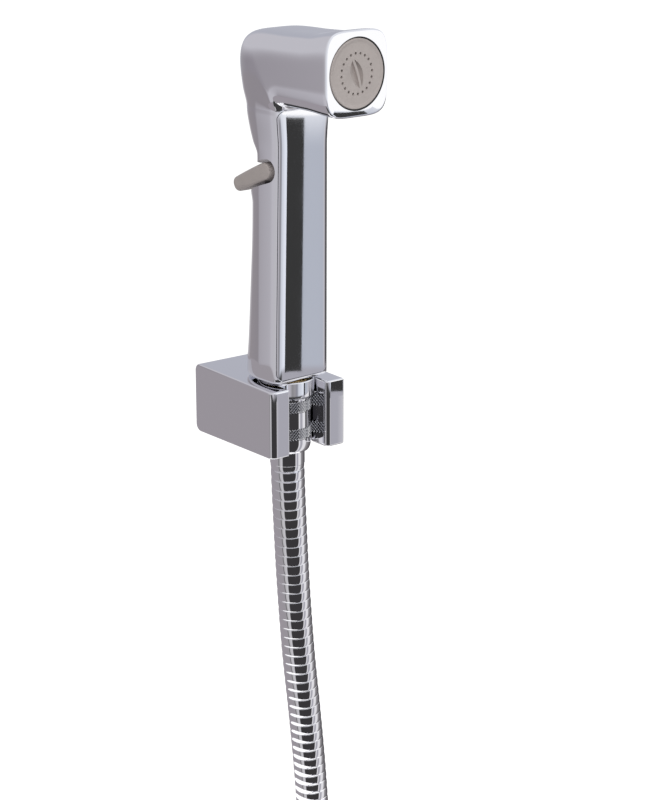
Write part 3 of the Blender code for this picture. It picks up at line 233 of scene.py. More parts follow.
class SpraySettings(bpy.types.PropertyGroup):
    """Sizes of the nozzle plate"""

    plate_r: length_property("Plate radius", "Radius of the nozzle plate", 13.8 * MM)
    ring_gap: length_property("Ring gap", "Gap round the nozzle plate", 0.6 * MM)
    recess: length_property("Recess", "How far the plate sits behind the bezel", 0.25 * MM)
    jets: bpy.props.IntProperty(name="Jets", description="Number of jets in the ring", default=20)
    jet_r: length_property("Jet radius", "Radius of one jet", 0.55 * MM)
    jet_circle_r: length_property("Jet circle", "Radius of the ring of jets", 7.95 * MM)
    grip_length: length_property("Grip length", "Length of the finger grip", 12.6 * MM)
    grip_width: length_property("Grip width", "Width of the finger grip", 7.6 * MM)
    grip_tilt: angle_property("Grip tilt", "How far the grip leans", 20.0)
    grip_ridge: length_property("Grip ridge", "Width of the ridge between the grip's two hollows", 1.1 * MM)
    grip_bow: length_property("Grip bow", "How far the ridge bows to the right at its middle", 0.5 * MM)
    grip_depth_left: length_property("Left hollow", "Depth of the hollow left of the ridge", 1.2 * MM)
    grip_depth_right: length_property("Right hollow", "Depth of the hollow right of the ridge", 2.25 * MM)


class TriggerSettings(bpy.types.PropertyGroup):
    """Sizes of the trigger"""

    length: length_property(
        "Length", "From the middle of the inner round end to that of the tip", 21.4 * MM
    )
    inner_side: length_property("Half width inside", "Half the lever's width in its slot", 12.6 * MM)
    outer_side: length_property("Half width at the tip", "Half the lever's width at its tip", 11.4 * MM)
    inner_half: length_property("Inner half thickness", "Radius of the lever's round inner end", 3.6 * MM)
    tip_half: length_property("Tip half thickness", "Half the lever's thickness at its tip", 3.2 * MM)
    tip_round: length_property("Tip round", "Corner radius of the tip, seen from above", 3.2 * MM)


class HoseSettings(bpy.types.PropertyGroup):
    """Sizes of the corrugated hose and the cone nut's knurl"""

    radius: length_property("Hose radius", "Outside radius of the hose", HOSE_R)
    pitch: length_property("Rib pitch", "Length of hose from one rib to the next", 4.33 * MM)
    groove: length_property("Groove depth", "Depth of the groove between two ribs", 0.40 * MM)
    length: length_property("Hose length", "Length of the hose", 1.0)
    nut_r: length_property("Nut radius", "Radius of the cone nut's body", 10.1 * MM)
    nut_top_r: length_property("Nut top radius", "Radius of the cone nut's flared top", 11.7 * MM)
    knurl_count: bpy.props.IntProperty(
        name="Knurl count", description="Diamonds round the nut", default=52,
    )
    knurl_rows: bpy.props.IntProperty(name="Knurl rows", description="Rows in a band", default=6)


class HolderSettings(bpy.types.PropertyGroup):
    """Sizes of the wall holder"""

    width: length_property("Width", "Width across both prongs", 38.0 * MM)
    depth: length_property("Depth", "From the wall to the prongs' front", 56.0 * MM)
    front_height: length_property("Front height", "Height at the front", 29.0 * MM)
    wall_height: length_property("Wall height", "Height at the wall", 30.5 * MM)
    slot: length_property("Slot width", "Gap between the prongs", 19.4 * MM)
    edge: length_property("Edge round", "Radius of the block's edges", 0.8 * MM)
    corner: length_property("Corner round", "Radius of the upright corners at the front", 2.7 * MM)
    back_corner: length_property(
        "Back corner round", "Radius of the block's top and foot at the wall", 3.3 * MM
    )


class FinishSettings(bpy.types.PropertyGroup):
    """Colours of the finishes"""

    chrome: colour_property("Chrome", "Colour of the bright plating", (0.86, 0.86, 0.885))
    warm_grey: colour_property(
        "Warm grey", "Colour of the nozzle plate and the trigger", (0.475, 0.425, 0.405)
    )
    brass: colour_property("Brass", "Colour of the bare brass", (0.72, 0.55, 0.28))
    steel: colour_property("Steel", "Colour of the bare steel", (0.60, 0.60, 0.62))


class StudioSettings(bpy.types.PropertyGroup):
    """Camera and light"""

    camera_pitch: angle_property("Camera pitch", "How far the camera looks down", 17.0)
    camera_turn: angle_property("Camera turn", "How far the camera looks round from straight on", 37.8)
    camera_spot: bpy.props.FloatVectorProperty(
        name="Camera spot", description="Where the camera stands", subtype="TRANSLATION", size=3,
        default=(-0.503, -0.716, 0.262),
    )
    focal_length: bpy.props.FloatProperty(
        name="Focal length", description="Focal length on a 36 mm side, in millimetres",
        default=93.6,
    )
    key_power: bpy.props.FloatProperty(
        name="Key light", description="Power of the main soft lamp", default=11.0,
        subtype="POWER", unit="POWER",
    )
    fill_power: bpy.props.FloatProperty(
        name="Fill light", description="Power of the second soft lamp", default=3.0,
        subtype="POWER", unit="POWER",
    )


SETTINGS = {
    "bidet_handset": HandsetSettings,
    "bidet_spray": SpraySettings,
    "bidet_trigger": TriggerSettings,
    "bidet_hose": HoseSettings,
    "bidet_holder": HolderSettings,
    "bidet_finish": FinishSettings,
    "bidet_studio": StudioSettings,
}


# Small maths
def smooth_step(value):
    t = min(1.0, max(0.0, value))
    return t * t * (3.0 - 2.0 * t)


def blend(low, high, share):
    return low + (high - low) * share


def quarter(steps, first=0):
    """(sine, cosine) pairs round a quarter turn."""
    turns = [0.5 * math.pi * i / steps for i in range(first, steps + 1)]
    return [(math.sin(turn), math.cos(turn)) for turn in turns]


def signed_power(value, power):
    return math.copysign(abs(value) ** power, value)


def handset_place(scene):
    yaw = scene.bidet_handset.yaw
    return Matrix.Translation((0.0, NUT_AXIS_Y, 0.0)) @ Matrix.Rotation(yaw, 4, "Z")


def along(origin, axis):
    """Placement that carries the local Z axis to a direction."""
    turn = Vector((0.0, 0.0, 1.0)).rotation_difference(Vector(axis)).to_matrix().to_4x4()
    return Matrix.Translation(Vector(origin)) @ turn


# Node helpers
def wired(tree, kind, inputs=None, **settings):
    """A new node with its settings and inputs: a socket is linked, anything else is a value."""
    node = tree.nodes.new(kind)
    for name, value in settings.items():
        setattr(node, name, value)
    for name, value in (inputs or {}).items():
        if isinstance(value, bpy.types.NodeSocket):
            tree.links.new(value, node.inputs[name])
        else:
            node.inputs[name].default_value = value
    return node


def maths(tree, operation, *values):
    return wired(tree, "ShaderNodeMath", dict(enumerate(values)), operation=operation).outputs[0]


def add_inputs(tree, rows):
    for name, kind, value in rows:
        tree.interface.new_socket(name, in_out="INPUT", socket_type=kind).default_value = value


def grain_group():
    """Fine uneven grain as a mask from low to high, for smudges, moulded grain and turning marks."""
    found = bpy.data.node_groups.get("fine_grain")
    if found:
        return found
    group = bpy.data.node_groups.new("fine_grain", "ShaderNodeTree")
    add_inputs(group, (
        ("Scale", "NodeSocketFloat", 400.0),
        ("Stretch", "NodeSocketVector", (1.0, 1.0, 1.0)),
        ("Low", "NodeSocketFloat", 0.0),
        ("High", "NodeSocketFloat", 1.0),
    ))
    group.interface.new_socket("Mask", in_out="OUTPUT", socket_type="NodeSocketFloat")
    entry = group.nodes.new("NodeGroupInput").outputs
    where = group.nodes.new("ShaderNodeTexCoord")
    stretch = wired(
        group, "ShaderNodeVectorMath", {0: where.outputs["Object"], 1: entry["Stretch"]},
        operation="MULTIPLY",
    )
    noise = wired(group, "ShaderNodeTexNoise", {
        "Vector": stretch.outputs["Vector"], "Scale": entry["Scale"], "Detail": 4.0, "Roughness": 0.55,
    })
    spread = wired(group, "ShaderNodeMapRange", {
        "Value": noise.outputs["Fac"], "From Min": 0.3, "From Max": 0.7,
        "To Min": entry["Low"], "To Max": entry["High"],
    })
    wired(group, "NodeGroupOutput", {"Mask": spread.outputs["Result"]})
    return group


def grain(mat, scale, low, high, stretch=(1.0, 1.0, 1.0)):
    """The mask of a fine_grain node in a material, with its own values."""
    node = wired(mat.node_tree, "ShaderNodeGroup", node_tree=grain_group())
    for name, value in (("Scale", scale), ("Low", low), ("High", high), ("Stretch", stretch)):
        node.inputs[name].default_value = value
    return node.outputs["Mask"]


# Finishes
def principled(name, inputs):
    mat = bpy.data.materials.new(name)
    mat.use_nodes = True
    shader = mat.node_tree.nodes["Principled BSDF"]
    for key, value in inputs.items():
        shader.inputs[key].default_value = value
    return mat, shader


def grained(name, colour, metallic, scale, low, high, stretch=(1.0, 1.0, 1.0)):
    """A finish whose roughness runs from low to high with the grain."""
    mat, shader = principled("finish_" + name, {"Base Color": (*colour, 1.0), "Metallic": metallic})
    mat.node_tree.links.new(grain(mat, scale, low, high, stretch), shader.inputs["Roughness"])
    return mat


def chrome(colours):
    return grained("chrome", colours.chrome, 1.0, 90.0, 0.018, 0.036)


def knurl_chrome_painted_shade(colours):
    """Chrome at half its colour for the knurled bands' studs: painted shade between the fine studs, darker
    than the smooth plating.
    """
    return grained("knurl", [0.5 * part for part in colours.chrome], 1.0, 400.0, 0.04, 0.09)


def warm_grey(colours):
    """Moulded plastic, a little mottled and finely pitted."""
    colour = tuple(colours.warm_grey)
    dark = tuple(0.94 * part for part in colour)
    mat, shader = principled("finish_warm_grey", {"Base Color": (*colour, 1.0), "Roughness": 0.42})
    tree = mat.node_tree
    mottle = grain(mat, 260.0, 0.0, 1.0)
    mix = wired(
        tree, "ShaderNodeMix", {"A": (*dark, 1.0), "B": (*colour, 1.0), "Factor": mottle},
        data_type="RGBA",
    )
    pits = wired(tree, "ShaderNodeBump", {
        "Strength": 0.5, "Distance": 0.05 * MM, "Height": grain(mat, 1500.0, 0.0, 1.0),
    })
    tree.links.new(mix.outputs["Result"], shader.inputs["Base Color"])
    tree.links.new(pits.outputs["Normal"], shader.inputs["Normal"])
    return mat


def rubber(colours):
    return grained("rubber", (0.03, 0.03, 0.032), 0.0, 700.0, 0.55, 0.75)


def brass(colours):
    """Bare brass with marks from the lathe."""
    return grained("brass", colours.brass, 1.0, 60.0, 0.18, 0.34, (1.0, 1.0, 40.0))


def steel(colours):
    return grained("steel", colours.steel, 1.0, 300.0, 0.2, 0.34)


def inner_plastic(colours):
    return grained("inner_plastic", (0.78, 0.78, 0.76), 0.0, 500.0, 0.4, 0.52)


FINISHES = {
    "chrome": chrome,
    "knurl": knurl_chrome_painted_shade,
    "warm_grey": warm_grey,
    "rubber": rubber,
    "brass": brass,
    "steel": steel,
    "inner_plastic": inner_plastic,
}


def finish(scene, name):
    """The finish of that name, made the first time it is asked for."""
    found = bpy.data.materials.get("finish_" + name)
    return found or FINISHES[name](scene.bidet_finish)


# Mesh helpers
def add_rings(bm, rings, capped=True):
    """Join rings of points, each with as many points, into one skin."""
    loops = [[bm.verts.new(p) for p in ring] for ring in rings]
    for low, high in zip(loops, loops[1:]):
        count = len(low)
        for i in range(count):
            j = (i + 1) % count
            bm.faces.new((low[i], low[j], high[j], high[i]))
    if capped:
        bm.faces.new(loops[0])
        bm.faces.new(list(reversed(loops[-1])))


def add_lathe(bm, profile, segments, place):
    """Turn a closed (radius, height) profile about the local Z axis; radius 0 lies on the axis."""
    columns = []
    for radius, height in profile:
        if radius < 1e-9:
            columns.append([bm.verts.new(place @ Vector((0.0, 0.0, height)))])
            continue
        ring = []
        for i in range(segments):
            turn = 2.0 * math.pi * i / segments
            spot = Vector((radius * math.cos(turn), radius * math.sin(turn), height))
            ring.append(bm.verts.new(place @ spot))
        columns.append(ring)
    for k, low in enumerate(columns):
        high = columns[(k + 1) % len(columns)]
        if len(low) == 1 and len(high) == 1:
            continue
        for i in range(segments):
            j = (i + 1) % segments
            if len(low) == 1:
                bm.faces.new((low[0], high[j], high[i]))
            elif len(high) == 1:
                bm.faces.new((low[i], low[j], high[0]))
            else:
                bm.faces.new((low[i], low[j], high[j], high[i]))


def shade(mesh, angle):
    """Smooth, but for edges past an angle."""
    mesh.shade_smooth()
    mesh.set_sharp_from_angle(angle=math.radians(angle))


def new_piece(name, bm, mat, angle=35.0):
    """Turn a bmesh into a linked object, faces out, smooth but for edges past an angle."""
    bmesh.ops.recalc_face_normals(bm, faces=bm.faces)
    mesh = bpy.data.meshes.new(name)
    bm.to_mesh(mesh)
    bm.free()
    shade(mesh, angle)
    if mat is not None:
        mesh.materials.append(mat)
    obj = bpy.data.objects.new(name, mesh)
    bpy.context.scene.collection.objects.link(obj)
    return obj


def skinned(name, rings, mat, place, angle=35.0):
    """A closed piece through rings of points."""
    bm = bmesh.new()
    add_rings(bm, [[place @ spot for spot in ring] for ring in rings])
    return new_piece(name, bm, mat, angle)


def turned(name, profile, mat, segments, place, angle=35.0):
    """A closed piece turned from a profile about the placement's Z axis."""
    bm = bmesh.new()
    add_lathe(bm, profile, segments, place)
    return new_piece(name, bm, mat, angle)


def prism(name, outline, low, high, place, axis="X"):
    """Push an outline from low to high along X or Z. The outline's pairs are the other two axes."""
    rings = []
    for t in (low, high):
        rings.append([Vector((t, a, b) if axis == "X" else (a, b, t)) for a, b in outline])
    return skinned(name, rings, None, place)


def box(name, low, high, place):
    outline = [(low[0], low[1]), (high[0], low[1]), (high[0], high[1]), (low[0], high[1])]
    return prism(name, outline, low[2], high[2], place, "Z")


def rod(radius, low, high):
    return [(0.0, low), (radius, low), (radius, high), (0.0, high)]


def carve(target, tools, operation="DIFFERENCE"):
    """Cut tools out of a piece, or join them to it, and bake the result into its mesh."""
    for tool in tools:
        step = target.modifiers.new(tool.name, "BOOLEAN")
        step.operation = operation
        step.solver = "EXACT"
        step.object = tool
    bake(target)
    drop(*tools)


def drop(*objects):
    for obj in objects:
        mesh = obj.data
        bpy.data.objects.remove(obj)
        bpy.data.meshes.remove(mesh)


def bake(target):
    """Replace a piece's mesh by what its modifiers make of it."""
    bpy.context.view_layer.update()
    graph = bpy.context.evaluated_depsgraph_get()
    mesh = bpy.data.meshes.new_from_object(target.evaluated_get(graph))
    old = target.data
    name = old.name
    target.modifiers.clear()
    target.data = mesh
    bpy.data.meshes.remove(old)
    mesh.name = name


def keep_skin(target, skin, angle=35.0):
    """Give the faces left from an uncut skin that skin's own smooth normals."""
    mesh = target.data
    source = skin.data
    source.calc_loop_triangles()
    corners = [Vector(v.co) for v in source.vertices]
    normals = [Vector(v.normal) for v in source.vertices]
    triangles = [tuple(t.vertices) for t in source.loop_triangles]
    tree = BVHTree.FromPolygons(corners, triangles)
    shade(mesh, angle)
    out = [Vector(n.vector) for n in mesh.corner_normals]
    verts = mesh.vertices
    for face in mesh.polygons:
        _, _, index, away = tree.find_nearest(face.center)
        if index is None or away > 0.03 * MM:
            continue
        a, b, c = triangles[index]
        if (normals[a] + normals[b] + normals[c]).normalized().dot(face.normal) < 0.9:
            continue
        for loop in face.loop_indices:
            here = verts[mesh.loops[loop].vertex_index].co
            spot, _, index, _ = tree.find_nearest(here)
            a, b, c = triangles[index]
            out[loop] = barycentric(spot, corners[a], corners[b], corners[c],
                                    normals[a], normals[b], normals[c])
    mesh.normals_split_custom_set(out)


def barycentric(spot, a, b, c, na, nb, nc):
    """Normal at a spot in a triangle, blended from the normals at its corners."""
    v0 = b - a
    v1 = c - a
    v2 = spot - a
    d00 = v0.dot(v0)
    d01 = v0.dot(v1)
    d11 = v1.dot(v1)
    d20 = v2.dot(v0)
    d21 = v2.dot(v1)
    bottom = d00 * d11 - d01 * d01
    if abs(bottom) < 1e-24:
        return na.normalized()
    v = (d11 * d20 - d01 * d21) / bottom
    w = (d00 * d21 - d01 * d20) / bottom
    return ((1.0 - v - w) * na + v * nb + w * nc).normalized()


def round_edges(target, width, segments, angle, clamp=True):
    """Round the edges past an angle, and bake."""
    step = target.modifiers.new("edge", "BEVEL")
    step.width = width
    step.segments = segments
    step.limit_method = "ANGLE"
    step.angle_limit = math.radians(angle)
    step.harden_normals = True
    step.use_clamp_overlap = clamp
    bake(target)


def declare(piece, body, slot, *nodes):
    """Hang a finished piece on the body it rides on and hide the solids that it stands for. The slot, its
    finish, is not used.
    """
    if nodes:
        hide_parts(*nodes)
    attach(piece, body)


# Handset shell
def hermite(stations, share):
    """Smooth curve through stations, flat where they turn."""
    rates = [(high[1] - low[1]) / (high[0] - low[0]) for low, high in zip(stations, stations[1:])]
    slopes = [0.0]
    for before, after in zip(rates, rates[1:]):
        slopes.append(0.0 if before * after <= 0.0 else 2.0 * before * after / (before + after))
    slopes.append(0.0)
    i = 0
    while share > stations[i + 1][0] and i < len(rates) - 1:
        i += 1
    (t0, v0), (t1, v1) = stations[i], stations[i + 1]
    span = t1 - t0
    t = (share - t0) / span
    value = v0 * (2 * t**3 - 3 * t**2 + 1) + v1 * (3 * t**2 - 2 * t**3)
    return value + span * (slopes[i] * (t**3 - 2 * t**2 + t) + slopes[i + 1] * (t**3 - t**2))


def section(inner, outer, middle, side, inner_power, outer_power):
    """Closed section as (across, along) pairs: two halves that meet at the widest line."""
    out = []
    for i in range(SECTION_POINTS):
        turn = 2.0 * math.pi * (i + 0.5) / SECTION_POINTS
        c = math.cos(turn)
        s = math.sin(turn)
        power = outer_power if s > 0.0 else inner_power
        reach = (outer - middle) if s > 0.0 else (middle - inner)
        across = side * signed_power(c, 2.0 / power)
        out.append((across, middle + reach * signed_power(s, 2.0 / power)))
    return out


class HandsetForm:
    """The handset's outer form: handle, neck and head as sections of one loft."""

    def __init__(self, sizes):
        self.sizes = sizes
        self.fan_y = -(sizes.front_high + NECK_FILLET)
        self.fan_z = HEAD_UNDER_Z - NECK_FILLET

    def share(self, z):
        return (z - HANDLE_BOTTOM_Z) / (self.fan_z - HANDLE_BOTTOM_Z)

    def front_depth(self, z):
        return blend(self.sizes.front_low, self.sizes.front_high, self.share(z))

    def half_width(self, z):
        share = self.share(z)
        wide = blend(self.sizes.side_low, self.sizes.side_high, share)
        return wide + 1.0 * MM * smooth_step((share - 0.86) / 0.14)

    def handle_ring(self, z, inset=0.0):
        share = self.share(z)
        pairs = section(
            -self.front_depth(z) + inset,
            hermite(BACK_STATIONS, share) - inset,
            0.0,
            self.half_width(z) - inset,
            FRONT_POWER,
            2.0 + 0.4 * smooth_step((share - 0.8) / 0.2),
        )
        return [Vector((x, y, z)) for x, y in pairs]

    def fan_ring(self, turn):
        """Ring that stands out from the neck's fillet, turned from level up to upright."""
        share = turn / (0.5 * math.pi)
        ease = smooth_step(share)
        reach_y = HEAD_BACK - self.fan_y
        reach_z = HEAD_TOP_Z - self.fan_z
        c = max(math.cos(turn), 0.0)
        s = math.sin(turn)
        reach = ((c / reach_y) ** 5.0 + (s / reach_z) ** 5.0) ** -0.2
        fall = 1.0 - smooth_step(reach * s / (0.28 * reach_z))
        reach -= (HEAD_BACK - BACK_STATIONS[-1][1]) * fall
        pairs = section(
            NECK_FILLET,
            reach,
            blend(-self.fan_y, 0.5 * (reach_z + NECK_FILLET), ease),
            blend(self.half_width(self.fan_z), HEAD_SIDE, smooth_step(share * 1.6)),
            blend(FRONT_POWER, HEAD_POWER, smooth_step(share * 1.4)),
            blend(2.4, HEAD_POWER, smooth_step(share * 1.25)),
        )
        return [Vector((x, self.fan_y + c * r, self.fan_z + s * r)) for x, r in pairs]

    def head_ring(self, y, inset=0.0):
        share = (self.fan_y - y) / (self.fan_y + self.sizes.head_front)
        flare = smooth_step((share - 0.45) / 0.55)
        top = blend(HEAD_TOP_Z, HEAD_TOP_Z + 1.0 * MM, share)
        top = blend(top, HEAD_AXIS_Z + HEAD_RIM_HALF_HEIGHT, flare)
        under = blend(HEAD_UNDER_Z, HEAD_UNDER_Z - 0.7 * MM, share)
        under = blend(under, HEAD_AXIS_Z - HEAD_RIM_HALF_HEIGHT, flare)
        middle = 0.5 * (top + under)
        pairs = section(
            under + inset, top - inset, middle, HEAD_SIDE - inset, HEAD_POWER, HEAD_POWER
        )
        return [Vector((x, y, z)) for x, z in pairs]

    def rings(self):
        low = HANDLE_BOTTOM_Z + HANDLE_FOOT_ROUND
        rings = []
        for s, c in quarter(8):
            rings.append(self.handle_ring(low - HANDLE_FOOT_ROUND * c, HANDLE_FOOT_ROUND * (1.0 - s)))
        for i in range(1, 111):
            rings.append(self.handle_ring(blend(low, self.fan_z, i / 110.0)))
        for i in range(1, 40):
            rings.append(self.fan_ring(0.5 * math.pi * i / 40.0))
        edge = -self.sizes.head_front + HEAD_RIM_ROUND
        for i in range(25):
            rings.append(self.head_ring(blend(self.fan_y, edge, i / 24.0)))
        for s, c in quarter(8, 1):
            rings.append(self.head_ring(edge - HEAD_RIM_ROUND * s, HEAD_RIM_ROUND * (1.0 - c)))
        return rings

    def front_line(self, z, x):
        """Y of the handle's front skin at a height and a distance from its middle."""
        share = min(0.999, abs(x) / self.half_width(z))
        return -self.front_depth(z) * (1.0 - share**FRONT_POWER) ** (1.0 / FRONT_POWER)


def panel_rings(form, grow, outside, depth, crown):
    """The front panel as rings up the handle: its face on the handle's skin or outside it."""
    corner = PANEL_CORNER + grow
    low = PANEL_BOTTOM_Z - grow
    high = PANEL_TOP_Z + grow
    rows = [(low + corner * (1.0 - c), s) for s, c in quarter(12)]
    steps = list(rows)
    for i in range(1, 56):
        steps.append((blend(low + corner, high - corner, i / 56.0), 1.0))
    for z, s in reversed(rows):
        steps.append((high - (z - low), s))
    rings = []
    for z, s in steps:
        side = form.half_width(z) - form.sizes.panel_margin + grow - corner * (1.0 - s)
        ring = []
        for i in range(65):
            across = math.sin(0.5 * math.pi * (-1.0 + i / 32.0))
            x = side * across
            face = outside
            if outside is None:
                face = form.front_line(z, x) + crown * (x / form.half_width(z)) ** 2
            ring.append(Vector((x, face, z)))
        back = -form.front_depth(z) + depth
        for i in range(5):
            ring.append(Vector((side * (1.0 - 0.5 * i), back, z)))
        rings.append(ring)
    return rings


def on_trigger(length, across):
    """(y, z) of a spot on the lever: length out along it and across downward from its middle."""
    y = TRIGGER_INNER_Y + length * DROOP_ALONG[0] + across * DROOP_DOWN[0]
    z = TRIGGER_INNER_Z + length * DROOP_ALONG[1] + across * DROOP_DOWN[1]
    return (y, z)


def slot_outline():
    """Side view of the lever's slot: a round inner end, wider where the lever sweeps."""
    out = []
    for i in range(49):
        turn = math.radians(90.0 + 157.5 * i / 48.0)
        y = SLOT_END_Y + SLOT_END_R * math.cos(turn)
        out.append((y, SLOT_END_Z + SLOT_END_R * math.sin(turn)))
    sweep = math.sin(TRIGGER_SWING)
    reach = TRIGGER_HALF_THICK + 2.0 * GAP
    far = 2.0 * HEAD_BACK
    out.append(on_trigger(TRIGGER_PIVOT_ALONG, reach))
    out.append(on_trigger(far, reach + (far - TRIGGER_PIVOT_ALONG) * sweep))
    out.append(on_trigger(far, -(TRIGGER_HALF_THICK + GAP)))
    out.append(on_trigger(TRIGGER_PIVOT_ALONG, -(TRIGGER_HALF_THICK + GAP)))
    out.append(on_trigger(0.0, -(TRIGGER_HALF_THICK + GAP + TRIGGER_PIVOT_ALONG * sweep)))
    return out


def lug_outline(radius, foot, depth):
    """Side view of a pivot lug: round about the pin, with a neck down from it."""
    out = []
    for i in range(25):
        turn = math.radians(-25.0 + 230.0 * i / 24.0)
        out.append((PIVOT_Y + radius * math.cos(turn), PIVOT_Z + radius * math.sin(turn)))
    out.append((PIVOT_Y - foot, PIVOT_Z - depth))
    out.append((PIVOT_Y + foot, PIVOT_Z - depth))
    return out


def stepped(low, steps):
    """Profile of a stepped bore from a height up through (radius, end) steps."""
    out = [(0.0, low)]
    for radius, high in steps:
        out.append((radius, low))
        out.append((radius, high))
        low = high
    out.append((0.0, low))
    return out


def make_shell(scene):
    sizes = scene.bidet_handset
    spray = scene.bidet_spray
    place = handset_place(scene)
    form = HandsetForm(sizes)
    shell = skinned("shell_skin", form.rings(), finish(scene, "chrome"), place)
    skin = bpy.data.objects.new("uncut_skin", shell.data.copy())

    wide = 2.0 * sizes.side_low
    deep = -2.0 * sizes.front_high
    slot = prism("slot_cut", slot_outline(), -wide, wide, place)
    web_back = TRIGGER_INNER_Y - TRIGGER_HALF_THICK - 1.5 * GAP
    web = box(
        "slot_web",
        (-WEB_SIDE, deep, SLOT_END_Z - 3.0 * SLOT_END_R),
        (WEB_SIDE, web_back, SLOT_END_Z + 3.0 * SLOT_END_R),
        place,
    )
    carve(slot, [web])
    carve(shell, [slot])
    lugs = []
    for side in (-1.0, 1.0):
        span = sorted((side * LUG_INNER_X, side * (LUG_INNER_X + LUG_THICKNESS)))
        outline = lug_outline(LUG_R, 0.75 * LUG_R, PIVOT_Z - VALVE_TOP_Z + 1.0 * MM)
        lugs.append(prism("lug", outline, span[0], span[1], place))
    carve(shell, lugs, "UNION")
    tools = []
    across = place @ along((0.0, PIVOT_Y, PIVOT_Z), (1, 0, 0))
    tools.append(turned("pin_way", rod(PIN_R + GAP, -wide, wide), None, 24, across))
    way = stepped(0.0, [
        (SPIGOT_R + GAP, SPIGOT_WAY_TOP_Z),
        (VALVE_R + GAP, VALVE_TOP_Z + GAP),
        (STEM_R + 1.5 * GAP, SLOT_END_Z),
        (STEM_HEAD_R + 1.5 * GAP, STEM_WAY_TOP_Z),
    ])
    tools.append(turned("valve_way", way, None, 48, place))
    way = rod(OUTLET_WAY_R, OUTLET_WAY_FOOT_Z, HEAD_AXIS_Z)
    outlet = place @ Matrix.Translation((0.0, OUTLET_Y, 0.0))
    tools.append(turned("outlet_way", way, None, 24, outlet))
    plate_back = -sizes.head_front + spray.recess + SPRAY_THICKNESS
    socket_back = plate_back + SKIRT + SOCKET_BEHIND_SKIRT
    way = stepped(-2.0 * sizes.head_front, [
        (spray.plate_r + spray.ring_gap, plate_back + GAP),
        (SOCKET_WAY_R, socket_back + GAP),
        (HEAD_DUCT_R, OUTLET_Y + OUTLET_WAY_R + MM),
    ])
    head = place @ along((0.0, 0.0, HEAD_AXIS_Z), (0.0, 1.0, 0.0))
    tools.append(turned("head_way", way, None, 128, head))
    rings = panel_rings(form, GAP, deep, PANEL_THICKNESS + GAP, 0.0)
    tools.append(skinned("panel_cut", rings, None, place))
    carve(shell, tools)
    keep_skin(shell, skin)
    drop(skin)
    shell.name = "handset_shell_finished"
    declare(shell, WALL_BODY, "chrome", "handset_shell")


def make_panel(scene):
    sizes = scene.bidet_handset
    form = HandsetForm(sizes)
    place = handset_place(scene)
    rings = panel_rings(form, 0.0, None, PANEL_THICKNESS, sizes.panel_crown)
    panel = skinned("handle_panel_finished", rings, finish(scene, "chrome"), place, 60.0)
    round_edges(panel, PANEL_EDGE, 3, 60.0)
    declare(panel, WALL_BODY, "chrome", "handle_panel")


# Nozzle plate
def scoop(spray, side, depth, face_y, place):
    """Tool for one of the grip's two hollows: deepest beside the ridge, running out to the plate's face."""
    c = math.cos(spray.grip_tilt)
    s = math.sin(spray.grip_tilt)
    reach = 1.0 if side < 0.0 else 0.62
    steepness = 1.0 if side < 0.0 else 0.45
    rows = 32
    columns = 10
    bm = bmesh.new()
    floor = []
    roof = []
    for i in range(rows + 1):
        share = 0.985 * (-1.0 + 2.0 * i / rows)
        up = 0.5 * spray.grip_length * share
        wide = 0.5 * spray.grip_width * (1.0 - share * share)
        bow = spray.grip_bow * (1.0 - share * share)
        near = bow + side * 0.5 * spray.grip_ridge
        far = bow + side * max(wide, 0.5 * spray.grip_ridge + 0.05 * MM)
        low = []
        high = []
        for j in range(columns + 1):
            t = j / columns
            across = blend(near, far, reach * t)
            x = across * c - up * s
            z = HEAD_AXIS_Z + across * s + up * c
            fall = math.cos(0.5 * math.pi * t) ** steepness
            down = depth * fall * math.sqrt(1.0 - share * share) - 0.04 * MM
            low.append(bm.verts.new(place @ Vector((x, face_y + down, z))))
            high.append(bm.verts.new(place @ Vector((x, face_y - MM, z))))
        floor.append(low)
        roof.append(high)
    for grid in (floor, roof):
        for a, b in zip(grid, grid[1:]):
            for j in range(columns):
                bm.faces.new((a[j], a[j + 1], b[j + 1], b[j]))
    edges = [(floor[0], roof[0]), (floor[-1], roof[-1])]
    for j in (0, columns):
        edges.append(([row[j] for row in floor], [row[j] for row in roof]))
    for low, high in edges:
        for k in range(len(low) - 1):
            bm.faces.new((low[k], low[k + 1], high[k + 1], high[k]))
    return new_piece("grip_cut", bm, None)


